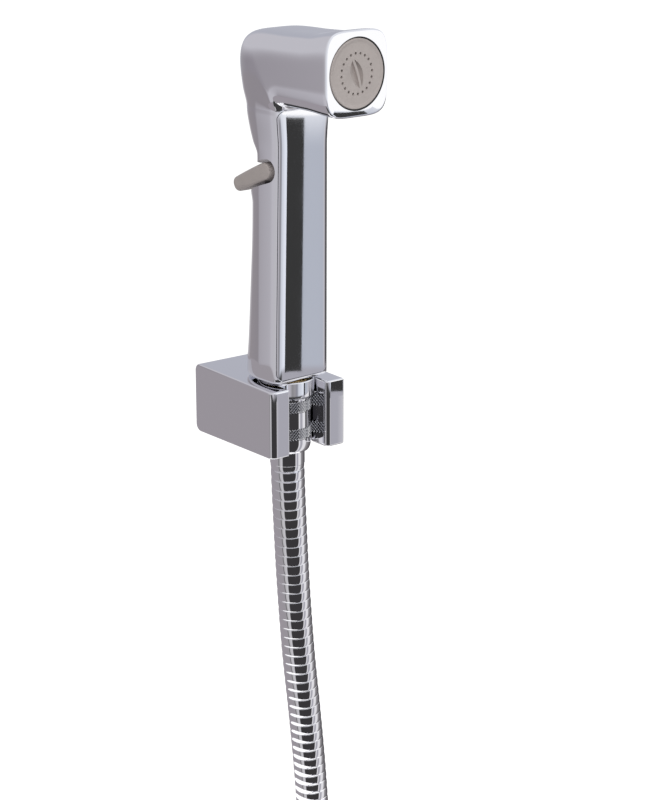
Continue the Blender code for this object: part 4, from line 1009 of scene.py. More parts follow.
def make_spray_plate(scene):
    spray = scene.bidet_spray
    place = handset_place(scene)
    face_y = -scene.bidet_handset.head_front + spray.recess
    turn = place @ along((0.0, face_y, HEAD_AXIS_Z), (0.0, 1.0, 0.0))
    radius = spray.plate_r
    rise = 0.35 * MM
    rim = SPRAY_RIM
    deep = SPRAY_THICKNESS + SKIRT
    inner_r = SKIRT_R - SKIRT_WALL
    profile = [(0.0, 0.0), (radius - 2.0 * rim, 0.0)]
    for i in range(1, 9):
        t = math.pi * i / 8.0
        profile.append((radius - 1.15 * rim - 0.7 * rim * math.cos(t), -rise * math.sin(0.5 * t) ** 2))
    for s, c in quarter(6, 1):
        profile.append((radius - 0.45 * rim + 0.45 * rim * s, -rise + rise * 1.6 * (1.0 - c)))
    profile += [
        (radius, SPRAY_THICKNESS),
        (SKIRT_R, SPRAY_THICKNESS),
        (SKIRT_R, deep),
        (inner_r, deep),
        (inner_r, SPRAY_THICKNESS),
        (0.0, SPRAY_THICKNESS),
    ]
    plate = turned("spray_plate_finished", profile, finish(scene, "warm_grey"), 128, turn, 40.0)
    tools = []
    bm = bmesh.new()
    for i in range(spray.jets):
        angle = 2.0 * math.pi * (i + 0.25) / spray.jets
        x = spray.jet_circle_r * math.cos(angle)
        z = HEAD_AXIS_Z + spray.jet_circle_r * math.sin(angle)
        jet = rod(spray.jet_r, -SPRAY_THICKNESS, 2.0 * SPRAY_THICKNESS)
        add_lathe(bm, jet, 20, place @ along((x, face_y, z), (0.0, 1.0, 0.0)))
    tools.append(new_piece("jet_cut", bm, None))
    for side, depth in ((-1.0, spray.grip_depth_left), (1.0, spray.grip_depth_right)):
        tools.append(scoop(spray, side, depth, face_y, place))
    carve(plate, tools)
    shade(plate.data, 40.0)
    declare(plate, WALL_BODY, "warm_grey_plastic", "spray_plate")
    # A black rubber lip in the ring gap round the plate: a dark piece that paints the gap's shade
    lip_inner = radius + 0.1 * MM
    lip_outer = radius + spray.ring_gap - 0.03 * MM
    gap_shade_lip = turned("spray_gap_shade_lip", [
        (lip_inner, 0.5 * MM),
        (lip_outer, 0.3 * MM),
        (lip_outer, SPRAY_THICKNESS),
        (lip_inner, SPRAY_THICKNESS),
    ], finish(scene, "rubber"), 128, turn, 40.0)
    declare(gap_shade_lip, WALL_BODY, "rubber")


# Trigger
def rounded_rect(half_x, half_z, corner, steps):
    out = []
    for k, (sx, sz) in enumerate(((1, 1), (-1, 1), (-1, -1), (1, -1))):
        for i in range(steps + 1):
            turn = 0.5 * math.pi * (k + i / steps)
            x = sx * (half_x - corner) + corner * math.cos(turn)
            z = sz * (half_z - corner) + corner * math.sin(turn)
            out.append((x, z))
    return out


def make_trigger(scene):
    sizes = scene.bidet_trigger
    place = handset_place(scene)
    radius = sizes.inner_half
    tip = sizes.tip_half
    end = sizes.length + tip

    def taper_at(length):
        return max(0.0, min(1.0, length / sizes.length)) ** 1.5

    stations = [(-radius * c, radius * s) for s, c in quarter(18, 1)]
    for i in range(1, 25):
        length = sizes.length * i / 24.0
        stations.append((length, blend(radius, tip, taper_at(length))))
    for s, c in reversed(quarter(18, 1)[:-1]):
        stations.append((sizes.length + tip * c, tip * s))
    rings = []
    for length, half in stations:
        taper = taper_at(length)
        side = blend(sizes.inner_side, sizes.outer_side, taper)
        near = max(0.0, 1.0 - (end - length) / sizes.tip_round)
        side -= sizes.tip_round * (1.0 - math.sqrt(1.0 - near * near))
        corner = min(blend(0.9 * MM, 2.2 * MM, taper), 0.8 * half)
        outline = rounded_rect(side, half, corner, 6)
        rings.append([Vector((x, *on_trigger(length, across))) for x, across in outline])
    trigger = skinned("trigger_finished", rings, finish(scene, "warm_grey"), place, 50.0)
    slit = STEM_R + 1.5 * GAP
    low = TRIGGER_INNER_Z - 3.0 * radius
    high = TRIGGER_INNER_Z + 3.0 * radius
    tools = [box("fork", (-slit, -3.0 * radius, low), (slit, slit, high), place)]
    for side in (-1.0, 1.0):
        edges = (side * (LUG_INNER_X - GAP), side * (LUG_INNER_X + LUG_THICKNESS + GAP))
        outline = lug_outline(LUG_R + GAP, 1.35 * LUG_R, 2.0 * radius)
        tools.append(prism("groove", outline, min(edges), max(edges), place))
    pin_from = -(LUG_INNER_X + LUG_THICKNESS + 2.2 * MM)
    across = place @ along((0.0, PIVOT_Y, PIVOT_Z), (1, 0, 0))
    reach = sizes.inner_side + 2.0 * MM
    tools.append(turned("pin_cut", rod(PIN_R + GAP, pin_from - GAP, reach), None, 24, across))
    carve(trigger, tools)
    shade(trigger.data, 40.0)
    declare(trigger, TRIGGER_BODY, "warm_grey_plastic", "trigger")


# Cone nut and ferrules
def nut_profile(hose):
    body = hose.nut_r
    top_r = hose.nut_top_r
    foot_z = NUT_BOTTOM_Z + NUT_FOOT_CHAMFER
    taper_z = NUT_BANDS[0] - 1.6 * MM
    outer = [(NUT_FOOT_R - NUT_FOOT_CHAMFER, NUT_BOTTOM_Z), (NUT_FOOT_R, foot_z)]
    for i in range(1, 13):
        t = i / 12.0
        bulge = math.sin(0.5 * math.pi * t) ** 0.35
        outer.append((blend(NUT_FOOT_R, body, bulge), blend(foot_z, taper_z, t)))
    for low in NUT_BANDS:
        high = low + NUT_BAND_HEIGHT
        outer += [
            (body, low),
            (body - NUT_BAND_SUNK, low + 0.1 * MM),
            (body - NUT_BAND_SUNK, high - 0.1 * MM),
            (body, high),
        ]
    outer.append((body, NUT_FLARE_Z))
    for i in range(1, 7):
        t = i / 6.0
        outer.append((blend(body, top_r, t), NUT_FLARE_Z + NUT_FLARE_RISE * t))
    for s, c in quarter(8):
        outer.append((top_r - NUT_EDGE * (1.0 - c), NUT_TOP_Z - NUT_EDGE * (1.0 - s)))
    inner = [
        (THREAD_BORE_R, NUT_TOP_Z),
        (THREAD_BORE_R, NUT_THREAD_Z),
        (FLANGE_BORE_R, NUT_THREAD_Z),
        (FLANGE_BORE_R, NUT_SHOULDER_Z),
        (NUT_BORE_R, NUT_SHOULDER_Z),
        (NUT_BORE_R, NUT_BOTTOM_Z),
    ]
    return outer + inner


def knurl_tree(mat):
    """Diamond studs set out on a band: each row is turned by half a step from the one below."""
    tree = bpy.data.node_groups.new("diamond_knurl", "GeometryNodeTree")
    tree.interface.new_socket("Geometry", in_out="INPUT", socket_type="NodeSocketGeometry")
    add_inputs(tree, (
        ("Count", "NodeSocketInt", 44),
        ("Rows", "NodeSocketInt", 7),
        ("Radius", "NodeSocketFloat", 10.0 * MM),
        ("Height", "NodeSocketFloat", 5.0 * MM),
        ("Low", "NodeSocketFloat", 0.0),
        ("Stud Depth", "NodeSocketFloat", 0.35 * MM),
    ))
    tree.interface.new_socket("Geometry", in_out="OUTPUT", socket_type="NodeSocketGeometry")
    entry = tree.nodes.new("NodeGroupInput").outputs
    count = entry["Count"]

    total = maths(tree, "MULTIPLY", count, entry["Rows"])
    line = wired(tree, "GeometryNodeMeshLine", {"Count": total})
    number = tree.nodes.new("GeometryNodeInputIndex").outputs[0]
    row = maths(tree, "FLOOR", maths(tree, "DIVIDE", maths(tree, "ADD", number, 0.5), count))
    place = maths(tree, "SUBTRACT", number, maths(tree, "MULTIPLY", row, count))
    place = maths(tree, "ADD", place, maths(tree, "MULTIPLY", row, 0.5))
    turn = maths(tree, "DIVIDE", maths(tree, "MULTIPLY", place, 2.0 * math.pi), count)
    step = maths(tree, "DIVIDE", entry["Height"], maths(tree, "ADD", entry["Rows"], 1.0))
    rise = maths(tree, "MULTIPLY", maths(tree, "ADD", row, 1.0), step)
    spot = wired(tree, "ShaderNodeCombineXYZ", {
        "X": maths(tree, "MULTIPLY", maths(tree, "COSINE", turn), entry["Radius"]),
        "Y": maths(tree, "MULTIPLY", maths(tree, "SINE", turn), entry["Radius"]),
        "Z": maths(tree, "ADD", rise, entry["Low"]),
    })
    shift = wired(tree, "GeometryNodeSetPosition", {
        "Geometry": line.outputs["Mesh"], "Position": spot.outputs["Vector"],
    })
    stud = wired(tree, "GeometryNodeMeshCone", {
        "Vertices": 4,
        "Radius Top": maths(tree, "MULTIPLY", step, 0.5),
        "Radius Bottom": maths(tree, "MULTIPLY", step, 0.95),
        "Depth": entry["Stud Depth"],
    }, fill_type="NGON")
    spin = wired(tree, "ShaderNodeCombineXYZ", {"Y": 0.5 * math.pi, "Z": turn})
    euler = wired(tree, "FunctionNodeEulerToRotation", {"Euler": spin.outputs["Vector"]})
    studs = wired(tree, "GeometryNodeInstanceOnPoints", {
        "Points": shift.outputs["Geometry"],
        "Instance": stud.outputs["Mesh"],
        "Rotation": euler.outputs["Rotation"],
    })
    real = wired(tree, "GeometryNodeRealizeInstances", {"Geometry": studs.outputs["Instances"]})
    paint = wired(tree, "GeometryNodeSetMaterial", {
        "Geometry": real.outputs["Geometry"], "Material": mat,
    })
    wired(tree, "NodeGroupOutput", {"Geometry": paint.outputs["Geometry"]})
    return tree


def made_by_nodes(name, tree, values, mat):
    """Run a node tree on an empty mesh and keep the result as a plain mesh."""
    obj = bpy.data.objects.new(name, bpy.data.meshes.new(name))
    bpy.context.scene.collection.objects.link(obj)
    step = obj.modifiers.new("nodes", "NODES")
    step.node_group = tree
    for item in tree.interface.items_tree:
        if item.in_out == "INPUT" and item.name in values:
            step[item.identifier] = values[item.name]
    bake(obj)
    obj.data.materials.clear()
    obj.data.materials.append(mat)
    obj.data.polygons.foreach_set("material_index", [0] * len(obj.data.polygons))
    return obj


def make_cone_nut(scene):
    hose = scene.bidet_hose
    plating = finish(scene, "chrome")
    place = Matrix.Translation((0.0, NUT_AXIS_Y, 0.0))
    nut = turned("cone_nut_finished", nut_profile(hose), plating, 128, place, 30.0)
    declare(nut, WALL_BODY, "chrome", "cone_nut")
    # The knurl finish is chrome darkened as painted shade between the studs
    knurl = finish(scene, "knurl")
    tree = knurl_tree(knurl)
    for low, label in zip(NUT_BANDS, ("lower", "upper")):
        band = made_by_nodes("knurl_" + label, tree, {
            "Count": hose.knurl_count,
            "Rows": hose.knurl_rows,
            "Radius": hose.nut_r - 0.05 * MM,
            "Height": NUT_BAND_HEIGHT,
            "Low": low,
            "Stud Depth": 0.26 * MM,
        }, knurl)
        band.data.transform(place)
        declare(band, WALL_BODY, "chrome")


def make_ferrules(scene):
    """The sleeve at each end of the hose, its mouth rolled in a little."""
    bore = FERRULE_R - FERRULE_WALL
    far_end = (COIL_CENTRE.x - FAR_END_START, COIL_CENTRE.y - COIL_R, FAR_Z)
    sleeves = []
    for node, low, high, place in (
        ("upper_ferrule", FERRULE_BOTTOM_Z, FERRULE_TOP_Z, Matrix.Translation((0.0, NUT_AXIS_Y, 0.0))),
        ("lower_ferrule", 0.0, FAR_FERRULE_LENGTH, along(far_end, (-1, 0, 0))),
    ):
        profile = [(bore, low)]
        for s, c in quarter(6):
            profile.append((FERRULE_R - FERRULE_ROLL * (1.0 - s), low + FERRULE_ROLL * (1.0 - c)))
        profile += [(FERRULE_R, high), (bore, high)]
        sleeve = turned(node + "_finished", profile, finish(scene, "chrome"), 96, place)
        declare(sleeve, WALL_BODY, "chrome", node)
        sleeves.append(sleeve)
    return sleeves


# Hose
def hose_path():
    """Points of the whole hose's route: down the drift, round the coil and out to the far end."""
    lower = COIL_FLOOR_Z + HOSE_R
    upper = lower + 2.0 * HOSE_R
    drift = [(FERRULE_BOTTOM_Z + 1.5 * MM, 0.0), (FERRULE_BOTTOM_Z - 2.0 * GAP, 0.0)] + HOSE_DRIFT
    route = [Vector((x, NUT_AXIS_Y, z)) for z, x in drift]
    start_z = upper + HOSE_BEND_R
    for s, c in quarter(15, 1):
        route.append(coil_spot(HOSE_BEND_R * (1.0 - c) / COIL_R, start_z - HOSE_BEND_R * s))
    count = 44
    for i in range(1, count + 1):
        sweep = blend(HOSE_BEND_R / COIL_R, 3.0 * math.pi, i / count)
        fall = smooth_step((math.degrees(sweep) - 192.0) / 50.0)
        route.append(coil_spot(sweep, blend(upper, lower, fall)))
    for share in (0.2, 0.4, 0.6, 0.8, 1.0):
        x = COIL_CENTRE.x - share * FAR_END_START
        height = blend(lower, FAR_Z, smooth_step(share * 1.1))
        route.append(Vector((x, COIL_CENTRE.y - COIL_R, height)))
    route.append(Vector((x - 1.5 * MM, COIL_CENTRE.y - COIL_R, FAR_Z)))
    return route


def coil_spot(sweep, height):
    x = COIL_CENTRE.x + COIL_R * math.sin(sweep)
    y = COIL_CENTRE.y + COIL_R * math.cos(sweep)
    return Vector((x, y, height))


def even_points(route, step):
    """Catmull-Rom curve through a route, resampled at an even step."""
    dense = [route[0]]
    for i in range(len(route) - 1):
        before = route[max(i - 1, 0)]
        here = route[i]
        there = route[i + 1]
        after = route[min(i + 2, len(route) - 1)]
        for k in range(1, 25):
            t = k / 24.0
            dense.append(0.5 * (
                2.0 * here
                + (there - before) * t
                + (2.0 * before - 5.0 * here + 4.0 * there - after) * t * t
                + (3.0 * here - before - 3.0 * there + after) * t**3
            ))
    co = np.array([tuple(p) for p in dense])
    run = np.concatenate([[0.0], np.cumsum(np.linalg.norm(np.diff(co, axis=0), axis=1))])
    count = max(2, int(round(run[-1] / step)) + 1)
    at = np.linspace(0.0, run[-1], count)
    return np.stack([np.interp(at, run, co[:, k]) for k in range(3)], axis=1), at


def carried_frames(points):
    """Tangents and two cross directions along a path, turned as little as can be."""
    tangents = np.gradient(points, axis=0)
    tangents /= np.linalg.norm(tangents, axis=1)[:, None]
    side = np.zeros_like(points)
    side[0] = np.cross(tangents[0], (0.0, 1.0, 0.0))
    side[0] /= np.linalg.norm(side[0])
    for i in range(1, len(points)):
        v = side[i - 1] - tangents[i] * side[i - 1].dot(tangents[i])
        side[i] = v / np.linalg.norm(v)
    return tangents, side, np.cross(tangents, side)


RIB_STEPS = 40
RIB_ROWS = (0, 1, 2, 8, 14, 20, 26, 32, 38, 39)


def rib_depth(phase):
    """Depth of the hose's surface below its ribs, as a share of the groove, by place in the pitch."""
    rib = 2.0 * np.abs(phase - np.floor(phase) - 0.5)
    crown = 0.5 * rib * rib
    seam = np.clip((rib - 0.90) / 0.10, 0.0, 1.0)
    return crown + 0.5 * seam * seam * (3.0 - 2.0 * seam)


def make_hose(scene):
    hose = scene.bidet_hose
    sides = 28
    points, at = even_points(hose_path(), hose.pitch / RIB_STEPS)
    tangents, side, other = carried_frames(points)
    phase = np.arange(len(points)) / RIB_STEPS
    kept = np.isin(np.arange(len(points)) % RIB_STEPS, RIB_ROWS)
    kept[-1] = True
    points, at, tangents, side, other, phase = (
        grid[kept] for grid in (points, at, tangents, side, other, phase)
    )
    count = len(points)
    turn = 2.0 * np.pi * np.arange(sides) / sides
    radius = hose.radius - hose.groove * rib_depth(phase)
    radius = np.where((at < HOSE_END) | (at[-1] - at < HOSE_END), HOSE_END_R, radius)
    step = 0.004
    slope = -hose.groove * (rib_depth(phase + step) - rib_depth(phase - step)) / (2.0 * step * hose.pitch)
    out = np.cos(turn)[None, :, None] * side[:, None, :] + np.sin(turn)[None, :, None] * other[:, None, :]
    co = points[:, None, :] + radius[:, None, None] * out
    normal = out - slope[:, None, None] * tangents[:, None, :]
    normal /= np.linalg.norm(normal, axis=2)[:, :, None]

    mesh = bpy.data.meshes.new("hose_finished")
    verts = co.reshape(-1, 3)
    i = np.arange(count - 1)[:, None]
    k = np.arange(sides)[None, :]
    a = i * sides + k
    b = i * sides + (k + 1) % sides
    quads = np.stack([a, b, b + sides, a + sides], axis=2).reshape(-1, 4)
    faces = quads.tolist()
    faces.append(list(range(sides))[::-1])
    faces.append([(count - 1) * sides + k for k in range(sides)])
    mesh.from_pydata(verts.tolist(), [], faces)
    mesh.update()
    middle = Vector(verts[:sides].mean(axis=0))
    if (mesh.polygons[0].center - middle).dot(mesh.polygons[0].normal) < 0.0:
        mesh.flip_normals()
    mesh.shade_smooth()
    mesh.normals_split_custom_set_from_vertices(normal.reshape(-1, 3).tolist())
    mesh.materials.append(finish(scene, "chrome"))
    obj = bpy.data.objects.new("hose_finished", mesh)
    scene.collection.objects.link(obj)
    declare(obj, WALL_BODY, "chrome", "hose", "hose_coil")


# Wall holder
def rounded_outline(corners, steps=8):
    """A closed outline from (x, y, radius) corners, each turned as an arc of its radius."""
    out = []
    count = len(corners)
    for k, (x, y, radius) in enumerate(corners):
        here = Vector((x, y))
        if radius <= 0.0:
            out.append((x, y))
            continue
        before = (Vector(corners[k - 1][:2]) - here).normalized()
        after = (Vector(corners[(k + 1) % count][:2]) - here).normalized()
        middle = here + radius * (before + after)
        for i in range(steps + 1):
            turn = 0.5 * math.pi * i / steps
            spot = middle - radius * (after * math.cos(turn) + before * math.sin(turn))
            out.append((spot.x, spot.y))
    return out


def make_holder(scene):
    sizes = scene.bidet_holder
    half = 0.5 * sizes.width
    gap = 0.5 * sizes.slot
    tall = sizes.wall_height
    flat = Matrix.Identity(4)
    corner = sizes.corner
    plan = rounded_outline([
        (-half, 0.0, 0.0),
        (-half, -sizes.depth, corner),
        (-gap, -sizes.depth, 0.0),
        (-gap, NUT_AXIS_Y, 0.0),
        (gap, NUT_AXIS_Y, 0.0),
        (gap, -sizes.depth, 0.75 * corner),
        (half, -sizes.depth, 0.0),
        (half, 0.0, 0.0),
    ])
    holder = prism("wall_holder_finished", plan, -tall, tall, flat, "Z")
    holder.data.materials.append(finish(scene, "chrome"))
    back = 0.5 * sizes.wall_height
    front = blend(back, 0.5 * sizes.front_height, 1.0 + MM / sizes.depth)
    side = rounded_outline([
        (0.0, -back, sizes.back_corner),
        (-sizes.depth - MM, -front, 0.0),
        (-sizes.depth - MM, front, 0.0),
        (0.0, back, sizes.back_corner),
    ])
    carve(holder, [prism("side_form", side, -sizes.width, sizes.width, flat)], "INTERSECT")
    seat = [
        (0.0, -tall),
        (SEAT_R, -tall),
        (SEAT_R, NUT_FLARE_Z - GAP),
        (SEAT_TOP_R, NUT_FLARE_Z + NUT_FLARE_RISE - GAP),
        (SEAT_TOP_R, tall),
        (0.0, tall),
    ]
    carve(holder, [turned("seat", seat, None, 72, Matrix.Translation((0.0, NUT_AXIS_Y, 0.0)))])
    round_edges(holder, sizes.edge, 4, 40.0, clamp=False)
    pocket_x = half - HOLDER_WALL
    pocket_z = back - HOLDER_WALL
    pocket = box(
        "pocket", (-pocket_x, -POCKET_DEPTH, -pocket_z), (pocket_x, HOLDER_WALL, pocket_z), flat
    )
    down = along((0.0, -GRUB_FROM_WALL, 0.0), (0, 0, -1))
    grub = turned("grub", rod(GRUB_WAY_R, 0.5 * pocket_z, tall), None, 32, down)
    carve(holder, [pocket, grub])
    shade(holder.data, 30.0)
    flatten = holder.modifiers.new("flatten", "WEIGHTED_NORMAL")
    flatten.keep_sharp = True
    flatten.weight = 60
    bake(holder)
    declare(holder, WALL_BODY, "chrome", "wall_holder")


# Solids that are only painted
KEPT = {
    "spray_seal": "rubber",
    "spray_socket": "inner_plastic",
    "outlet_tube": "inner_plastic",
    "valve_body": "brass",
    "valve_stem": "steel",
    "valve_disc": "rubber",
    "valve_spring": "steel",
    "stem_seal": "rubber",
    "gland_nut": "brass",
    "trigger_pin": "steel",
    "riser_tube": "inner_plastic",
    "inlet_spigot": "brass",
    "inlet_seal": "rubber",
    "cone_washer": "rubber",
    "upper_tail": "brass",
    "lower_tail": "brass",
    "tap_nut": "chrome",
    "tap_washer": "rubber",
    "wall_plate": "steel",
    "holder_grub_screw": "steel",
}


def paint_kept(scene):
    """Paint the solids that nothing replaces, and give the closing spring a mesh of its own."""
    for name, look in KEPT.items():
        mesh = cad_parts[name].data
        mesh.materials.clear()
        mesh.materials.append(finish(scene, look))
    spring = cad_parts["valve_spring"]
    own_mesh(spring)


# Studio
def colour_ramp(tree, share, stops):
    """A ramp from stops of degrees and colour, read by a share of the full turn."""
    ramp = wired(tree, "ShaderNodeValToRGB", {"Fac": share})
    points = ramp.color_ramp.elements
    while len(points) > 1:
        points.remove(points[-1])
    points[0].position = 0.0
    points[0].color = (*stops[0][1], 1.0)
    for degrees, colour in stops[1:]:
        points.new((degrees + 180.0) / 360.0).color = (*colour, 1.0)
    return ramp.outputs["Color"]


def surround_material(name, foot, zones):
    """Glow of a surround: colours by direction round the object, with a set of stops for each zone."""
    mat = bpy.data.materials.new(name)
    mat.use_nodes = True
    tree = mat.node_tree
    tree.nodes.clear()
    where = tree.nodes.new("ShaderNodeTexCoord")
    parts = wired(tree, "ShaderNodeSeparateXYZ", {"Vector": where.outputs["Object"]}).outputs
    angle = maths(tree, "ARCTAN2", parts["X"], maths(tree, "MULTIPLY", parts["Y"], -1.0))
    turn = wired(tree, "ShaderNodeMapRange", {"Value": angle, "From Min": -math.pi, "From Max": math.pi})
    share = turn.outputs["Result"]
    colour = colour_ramp(tree, share, foot)
    for stops, low, high in zones:
        rise = wired(
            tree, "ShaderNodeMapRange", {"Value": parts["Z"], "From Min": low, "From Max": high},
            interpolation_type="SMOOTHSTEP",
        )
        mix = wired(tree, "ShaderNodeMix", {
            "Factor": rise.outputs["Result"], "A": colour, "B": colour_ramp(tree, share, stops),
        }, data_type="RGBA")
        colour = mix.outputs["Result"]
    glow = wired(tree, "ShaderNodeEmission", {"Color": colour})
    wired(tree, "ShaderNodeOutputMaterial", {"Surface": glow.outputs["Emission"]})
    return mat


FAR_SURROUND_R = 0.45
NEAR_SURROUND_R = 0.215
NEAR_SURROUND_TOP = -0.041
# Colours round the object, by degrees from straight ahead (-Y), positive to the right (+X)
SURROUND_NEAR = [
    (-180.0, (0.36, 0.33, 0.36)),
    (-88.0, (0.36, 0.34, 0.36)),
    (-85.5, (0.10, 0.10, 0.10)),
    (-82.5, (0.10, 0.10, 0.10)),
    (-80.0, (0.50, 0.49, 0.50)),
    (-62.0, (0.66, 0.65, 0.67)),
    (-57.0, (0.045, 0.043, 0.045)),
    (15.0, (0.045, 0.043, 0.045)),
    (17.5, (0.85, 0.84, 0.86)),
    (21.0, (0.85, 0.84, 0.86)),
    (23.0, (0.431, 0.426, 0.473)),
    (33.0, (0.431, 0.426, 0.473)),
    (35.0, (0.85, 0.84, 0.86)),
    (52.0, (0.85, 0.84, 0.86)),
    (56.0, (0.35, 0.34, 0.35)),
    (80.0, (0.16, 0.15, 0.16)),
    (125.0, (0.06, 0.055, 0.06)),
    (135.0, (0.36, 0.34, 0.36)),
    (180.0, (0.36, 0.33, 0.36)),
]
SURROUND_FOOT = [
    (-180.0, (0.36, 0.33, 0.36)),
    (-100.0, (0.36, 0.33, 0.36)),
    (-87.0, (0.36, 0.35, 0.37)),
    (-84.0, (0.05, 0.05, 0.05)),
    (22.0, (0.05, 0.05, 0.05)),
    (26.0, (0.431, 0.426, 0.473)),
    (52.0, (0.431, 0.426, 0.473)),
    (66.0, (0.426, 0.41, 0.443)),
    (98.0, (0.133, 0.119, 0.122)),
    (118.0, (0.04, 0.04, 0.04)),
    (124.0, (0.39, 0.365, 0.376)),
    (150.0, (0.65, 0.64, 0.66)),
    (180.0, (0.36, 0.33, 0.36)),
]
SURROUND_MIDDLE = [
    (-180.0, (0.32, 0.295, 0.314)),
    (-141.0, (0.30, 0.278, 0.30)),
    (-134.0, (0.437, 0.42, 0.456)),
    (-125.0, (0.544, 0.53, 0.571)),
    (-90.0, (0.557, 0.55, 0.578)),
    (-30.0, (0.578, 0.564, 0.606)),
    (-24.0, (0.53, 0.51, 0.56)),
    (-19.0, (0.426, 0.42, 0.449)),
    (-14.0, (0.286, 0.281, 0.295)),
    (-4.0, (0.355, 0.344, 0.365)),
    (5.0, (0.277, 0.281, 0.329)),
    (9.0, (0.551, 0.571, 0.62)),
    (12.0, (0.672, 0.694, 0.765)),
    (20.0, (0.71, 0.742, 0.815)),
    (29.0, (0.85, 0.884, 0.966)),
    (34.0, (0.85, 0.884, 0.966)),
    (37.0, (0.50, 0.53, 0.60)),
    (51.0, (0.49, 0.515, 0.585)),
    (54.0, (0.635, 0.627, 0.657)),
    (60.0, (0.426, 0.41, 0.443)),
    (70.0, (0.08, 0.075, 0.08)),
    (104.0, (0.049, 0.047, 0.049)),
    (118.0, (0.025, 0.025, 0.025)),
    (122.0, (0.39, 0.365, 0.376)),
    (140.0, (0.657, 0.642, 0.664)),
    (155.0, (0.657, 0.642, 0.664)),
    (165.0, (0.524, 0.505, 0.524)),
    (176.0, (0.38, 0.355, 0.38)),
]
SURROUND_TOP = [
    (-180.0, (0.36, 0.345, 0.37)),
    (-150.0, (0.30, 0.28, 0.31)),
    (-139.0, (0.31, 0.29, 0.32)),
    (-124.0, (0.41, 0.39, 0.42)),
    (-105.0, (0.46, 0.45, 0.48)),
    (-90.0, (0.52, 0.51, 0.54)),
    (0.0, (0.86, 0.88, 0.93)),
    (120.0, (0.86, 0.88, 0.93)),
    (132.0, (0.66, 0.67, 0.73)),
    (142.0, (0.50, 0.51, 0.58)),
    (158.0, (0.50, 0.50, 0.55)),
    (180.0, (0.36, 0.345, 0.37)),
]
SURROUND_CROWN = [
    (-180.0, (0.58, 0.57, 0.61)),
    (-130.0, (0.58, 0.57, 0.61)),
    (-60.0, (0.66, 0.66, 0.70)),
    (0.0, (0.86, 0.88, 0.93)),
    (115.0, (0.80, 0.82, 0.87)),
    (136.0, (0.47, 0.48, 0.54)),
    (160.0, (0.47, 0.48, 0.54)),
    (180.0, (0.58, 0.57, 0.61)),
]
# Cards inside the surround: degrees, heights, radius and glow. The first is what the spray face
# shows, the second the dark stripe in the handle's panel.
CARDS = (
    ("spray_face_card", (20.0, 75.0), (0.0535, 0.30), 0.44, 1.15),
    ("panel_flag", (32.5, 38.6), (-0.1045, 0.053), 0.435, 0.043),
)


def glossy_only(obj):
    obj.visible_camera = False
    obj.visible_diffuse = False
    obj.visible_shadow = False
    obj.visible_transmission = False
    obj.visible_volume_scatter = False


def make_surround():
    zones = (
        (SURROUND_MIDDLE, -0.109, -0.104),
        (SURROUND_TOP, 0.030, 0.060),
        (SURROUND_CROWN, 0.080, 0.20),
    )
    far = [
        (COIL_FLOOR_Z - 0.004, FAR_SURROUND_R),
        (0.0, FAR_SURROUND_R),
        (1.2, FAR_SURROUND_R),
        (1.3, 0.002),
    ]
    near = [(COIL_FLOOR_Z, NEAR_SURROUND_R), (NEAR_SURROUND_TOP, NEAR_SURROUND_R)]
    for name, profile, foot, above in (
        ("far_surround", far, SURROUND_FOOT, zones),
        ("near_surround", near, SURROUND_NEAR, ()),
    ):
        bm = bmesh.new()
        rings = []
        for z, radius in profile:
            ring = []
            for i in range(96):
                turn = 2.0 * math.pi * i / 96
                ring.append(Vector((radius * math.cos(turn), radius * math.sin(turn), z)))
            rings.append(ring)
        add_rings(bm, rings, capped=False)
        glossy_only(new_piece(name, bm, surround_material(name, foot, above)))
    for name, spread, heights, radius, glow in CARDS:
        bm = bmesh.new()
        rows = []
        for z in heights:
            row = []
            for i in range(17):
                turn = math.radians(blend(spread[0], spread[1], i / 16.0))
                row.append(bm.verts.new((radius * math.sin(turn), -radius * math.cos(turn), z)))
            rows.append(row)
        for i in range(16):
            bm.faces.new((rows[0][i], rows[0][i + 1], rows[1][i + 1], rows[1][i]))
        mat, _ = principled(name, {
            "Base Color": (0.0, 0.0, 0.0, 1.0),
            "Roughness": 1.0,
            "Specular IOR Level": 0.0,
            "Emission Color": (1.0, 1.0, 1.0, 1.0),
            "Emission Strength": glow,
        })
        glossy_only(new_piece(name, bm, mat))


def seen_rays(tree):
    """The light path's outputs, and a mask: 1 for what the camera sees straight or in a mirror, 0
    for the light that falls on things.
    """
    rays = tree.nodes.new("ShaderNodeLightPath").outputs
    return rays, maths(tree, "MAXIMUM", rays["Is Camera Ray"], rays["Is Glossy Ray"])


def make_floor():
    bm = bmesh.new()
    bmesh.ops.create_grid(bm, x_segments=1, y_segments=1, size=14.0)
    bm.transform(Matrix.Translation((0.0, 0.0, COIL_FLOOR_Z - 0.2 * MM)))
    mat, shader = principled("pale_floor", {
        "Base Color": (0.82, 0.82, 0.82, 1.0),
        "Roughness": 0.9,
        "Specular IOR Level": 0.1,
        "Emission Color": (1.0, 1.0, 1.0, 1.0),
    })
    tree = mat.node_tree
    level = maths(tree, "MULTIPLY", seen_rays(tree)[1], 0.75)
    tree.links.new(level, shader.inputs["Emission Strength"])
    new_piece("studio_floor", bm, mat)


def make_world(scene):
    world = bpy.data.worlds.new("studio_world")
    world.use_nodes = True
    tree = world.node_tree
    tree.nodes.clear()
    rays, seen = seen_rays(tree)
    seen = maths(tree, "MAXIMUM", seen, rays["Is Transmission Ray"])
    level = wired(tree, "ShaderNodeMapRange", {"Value": seen, "To Min": 0.38, "To Max": 1.0})
    glow = wired(tree, "ShaderNodeBackground", {
        "Color": (1.0, 1.0, 1.0, 1.0), "Strength": level.outputs["Result"],
    })
    wired(tree, "ShaderNodeOutputWorld", {"Surface": glow.outputs["Background"]})
    scene.world = world


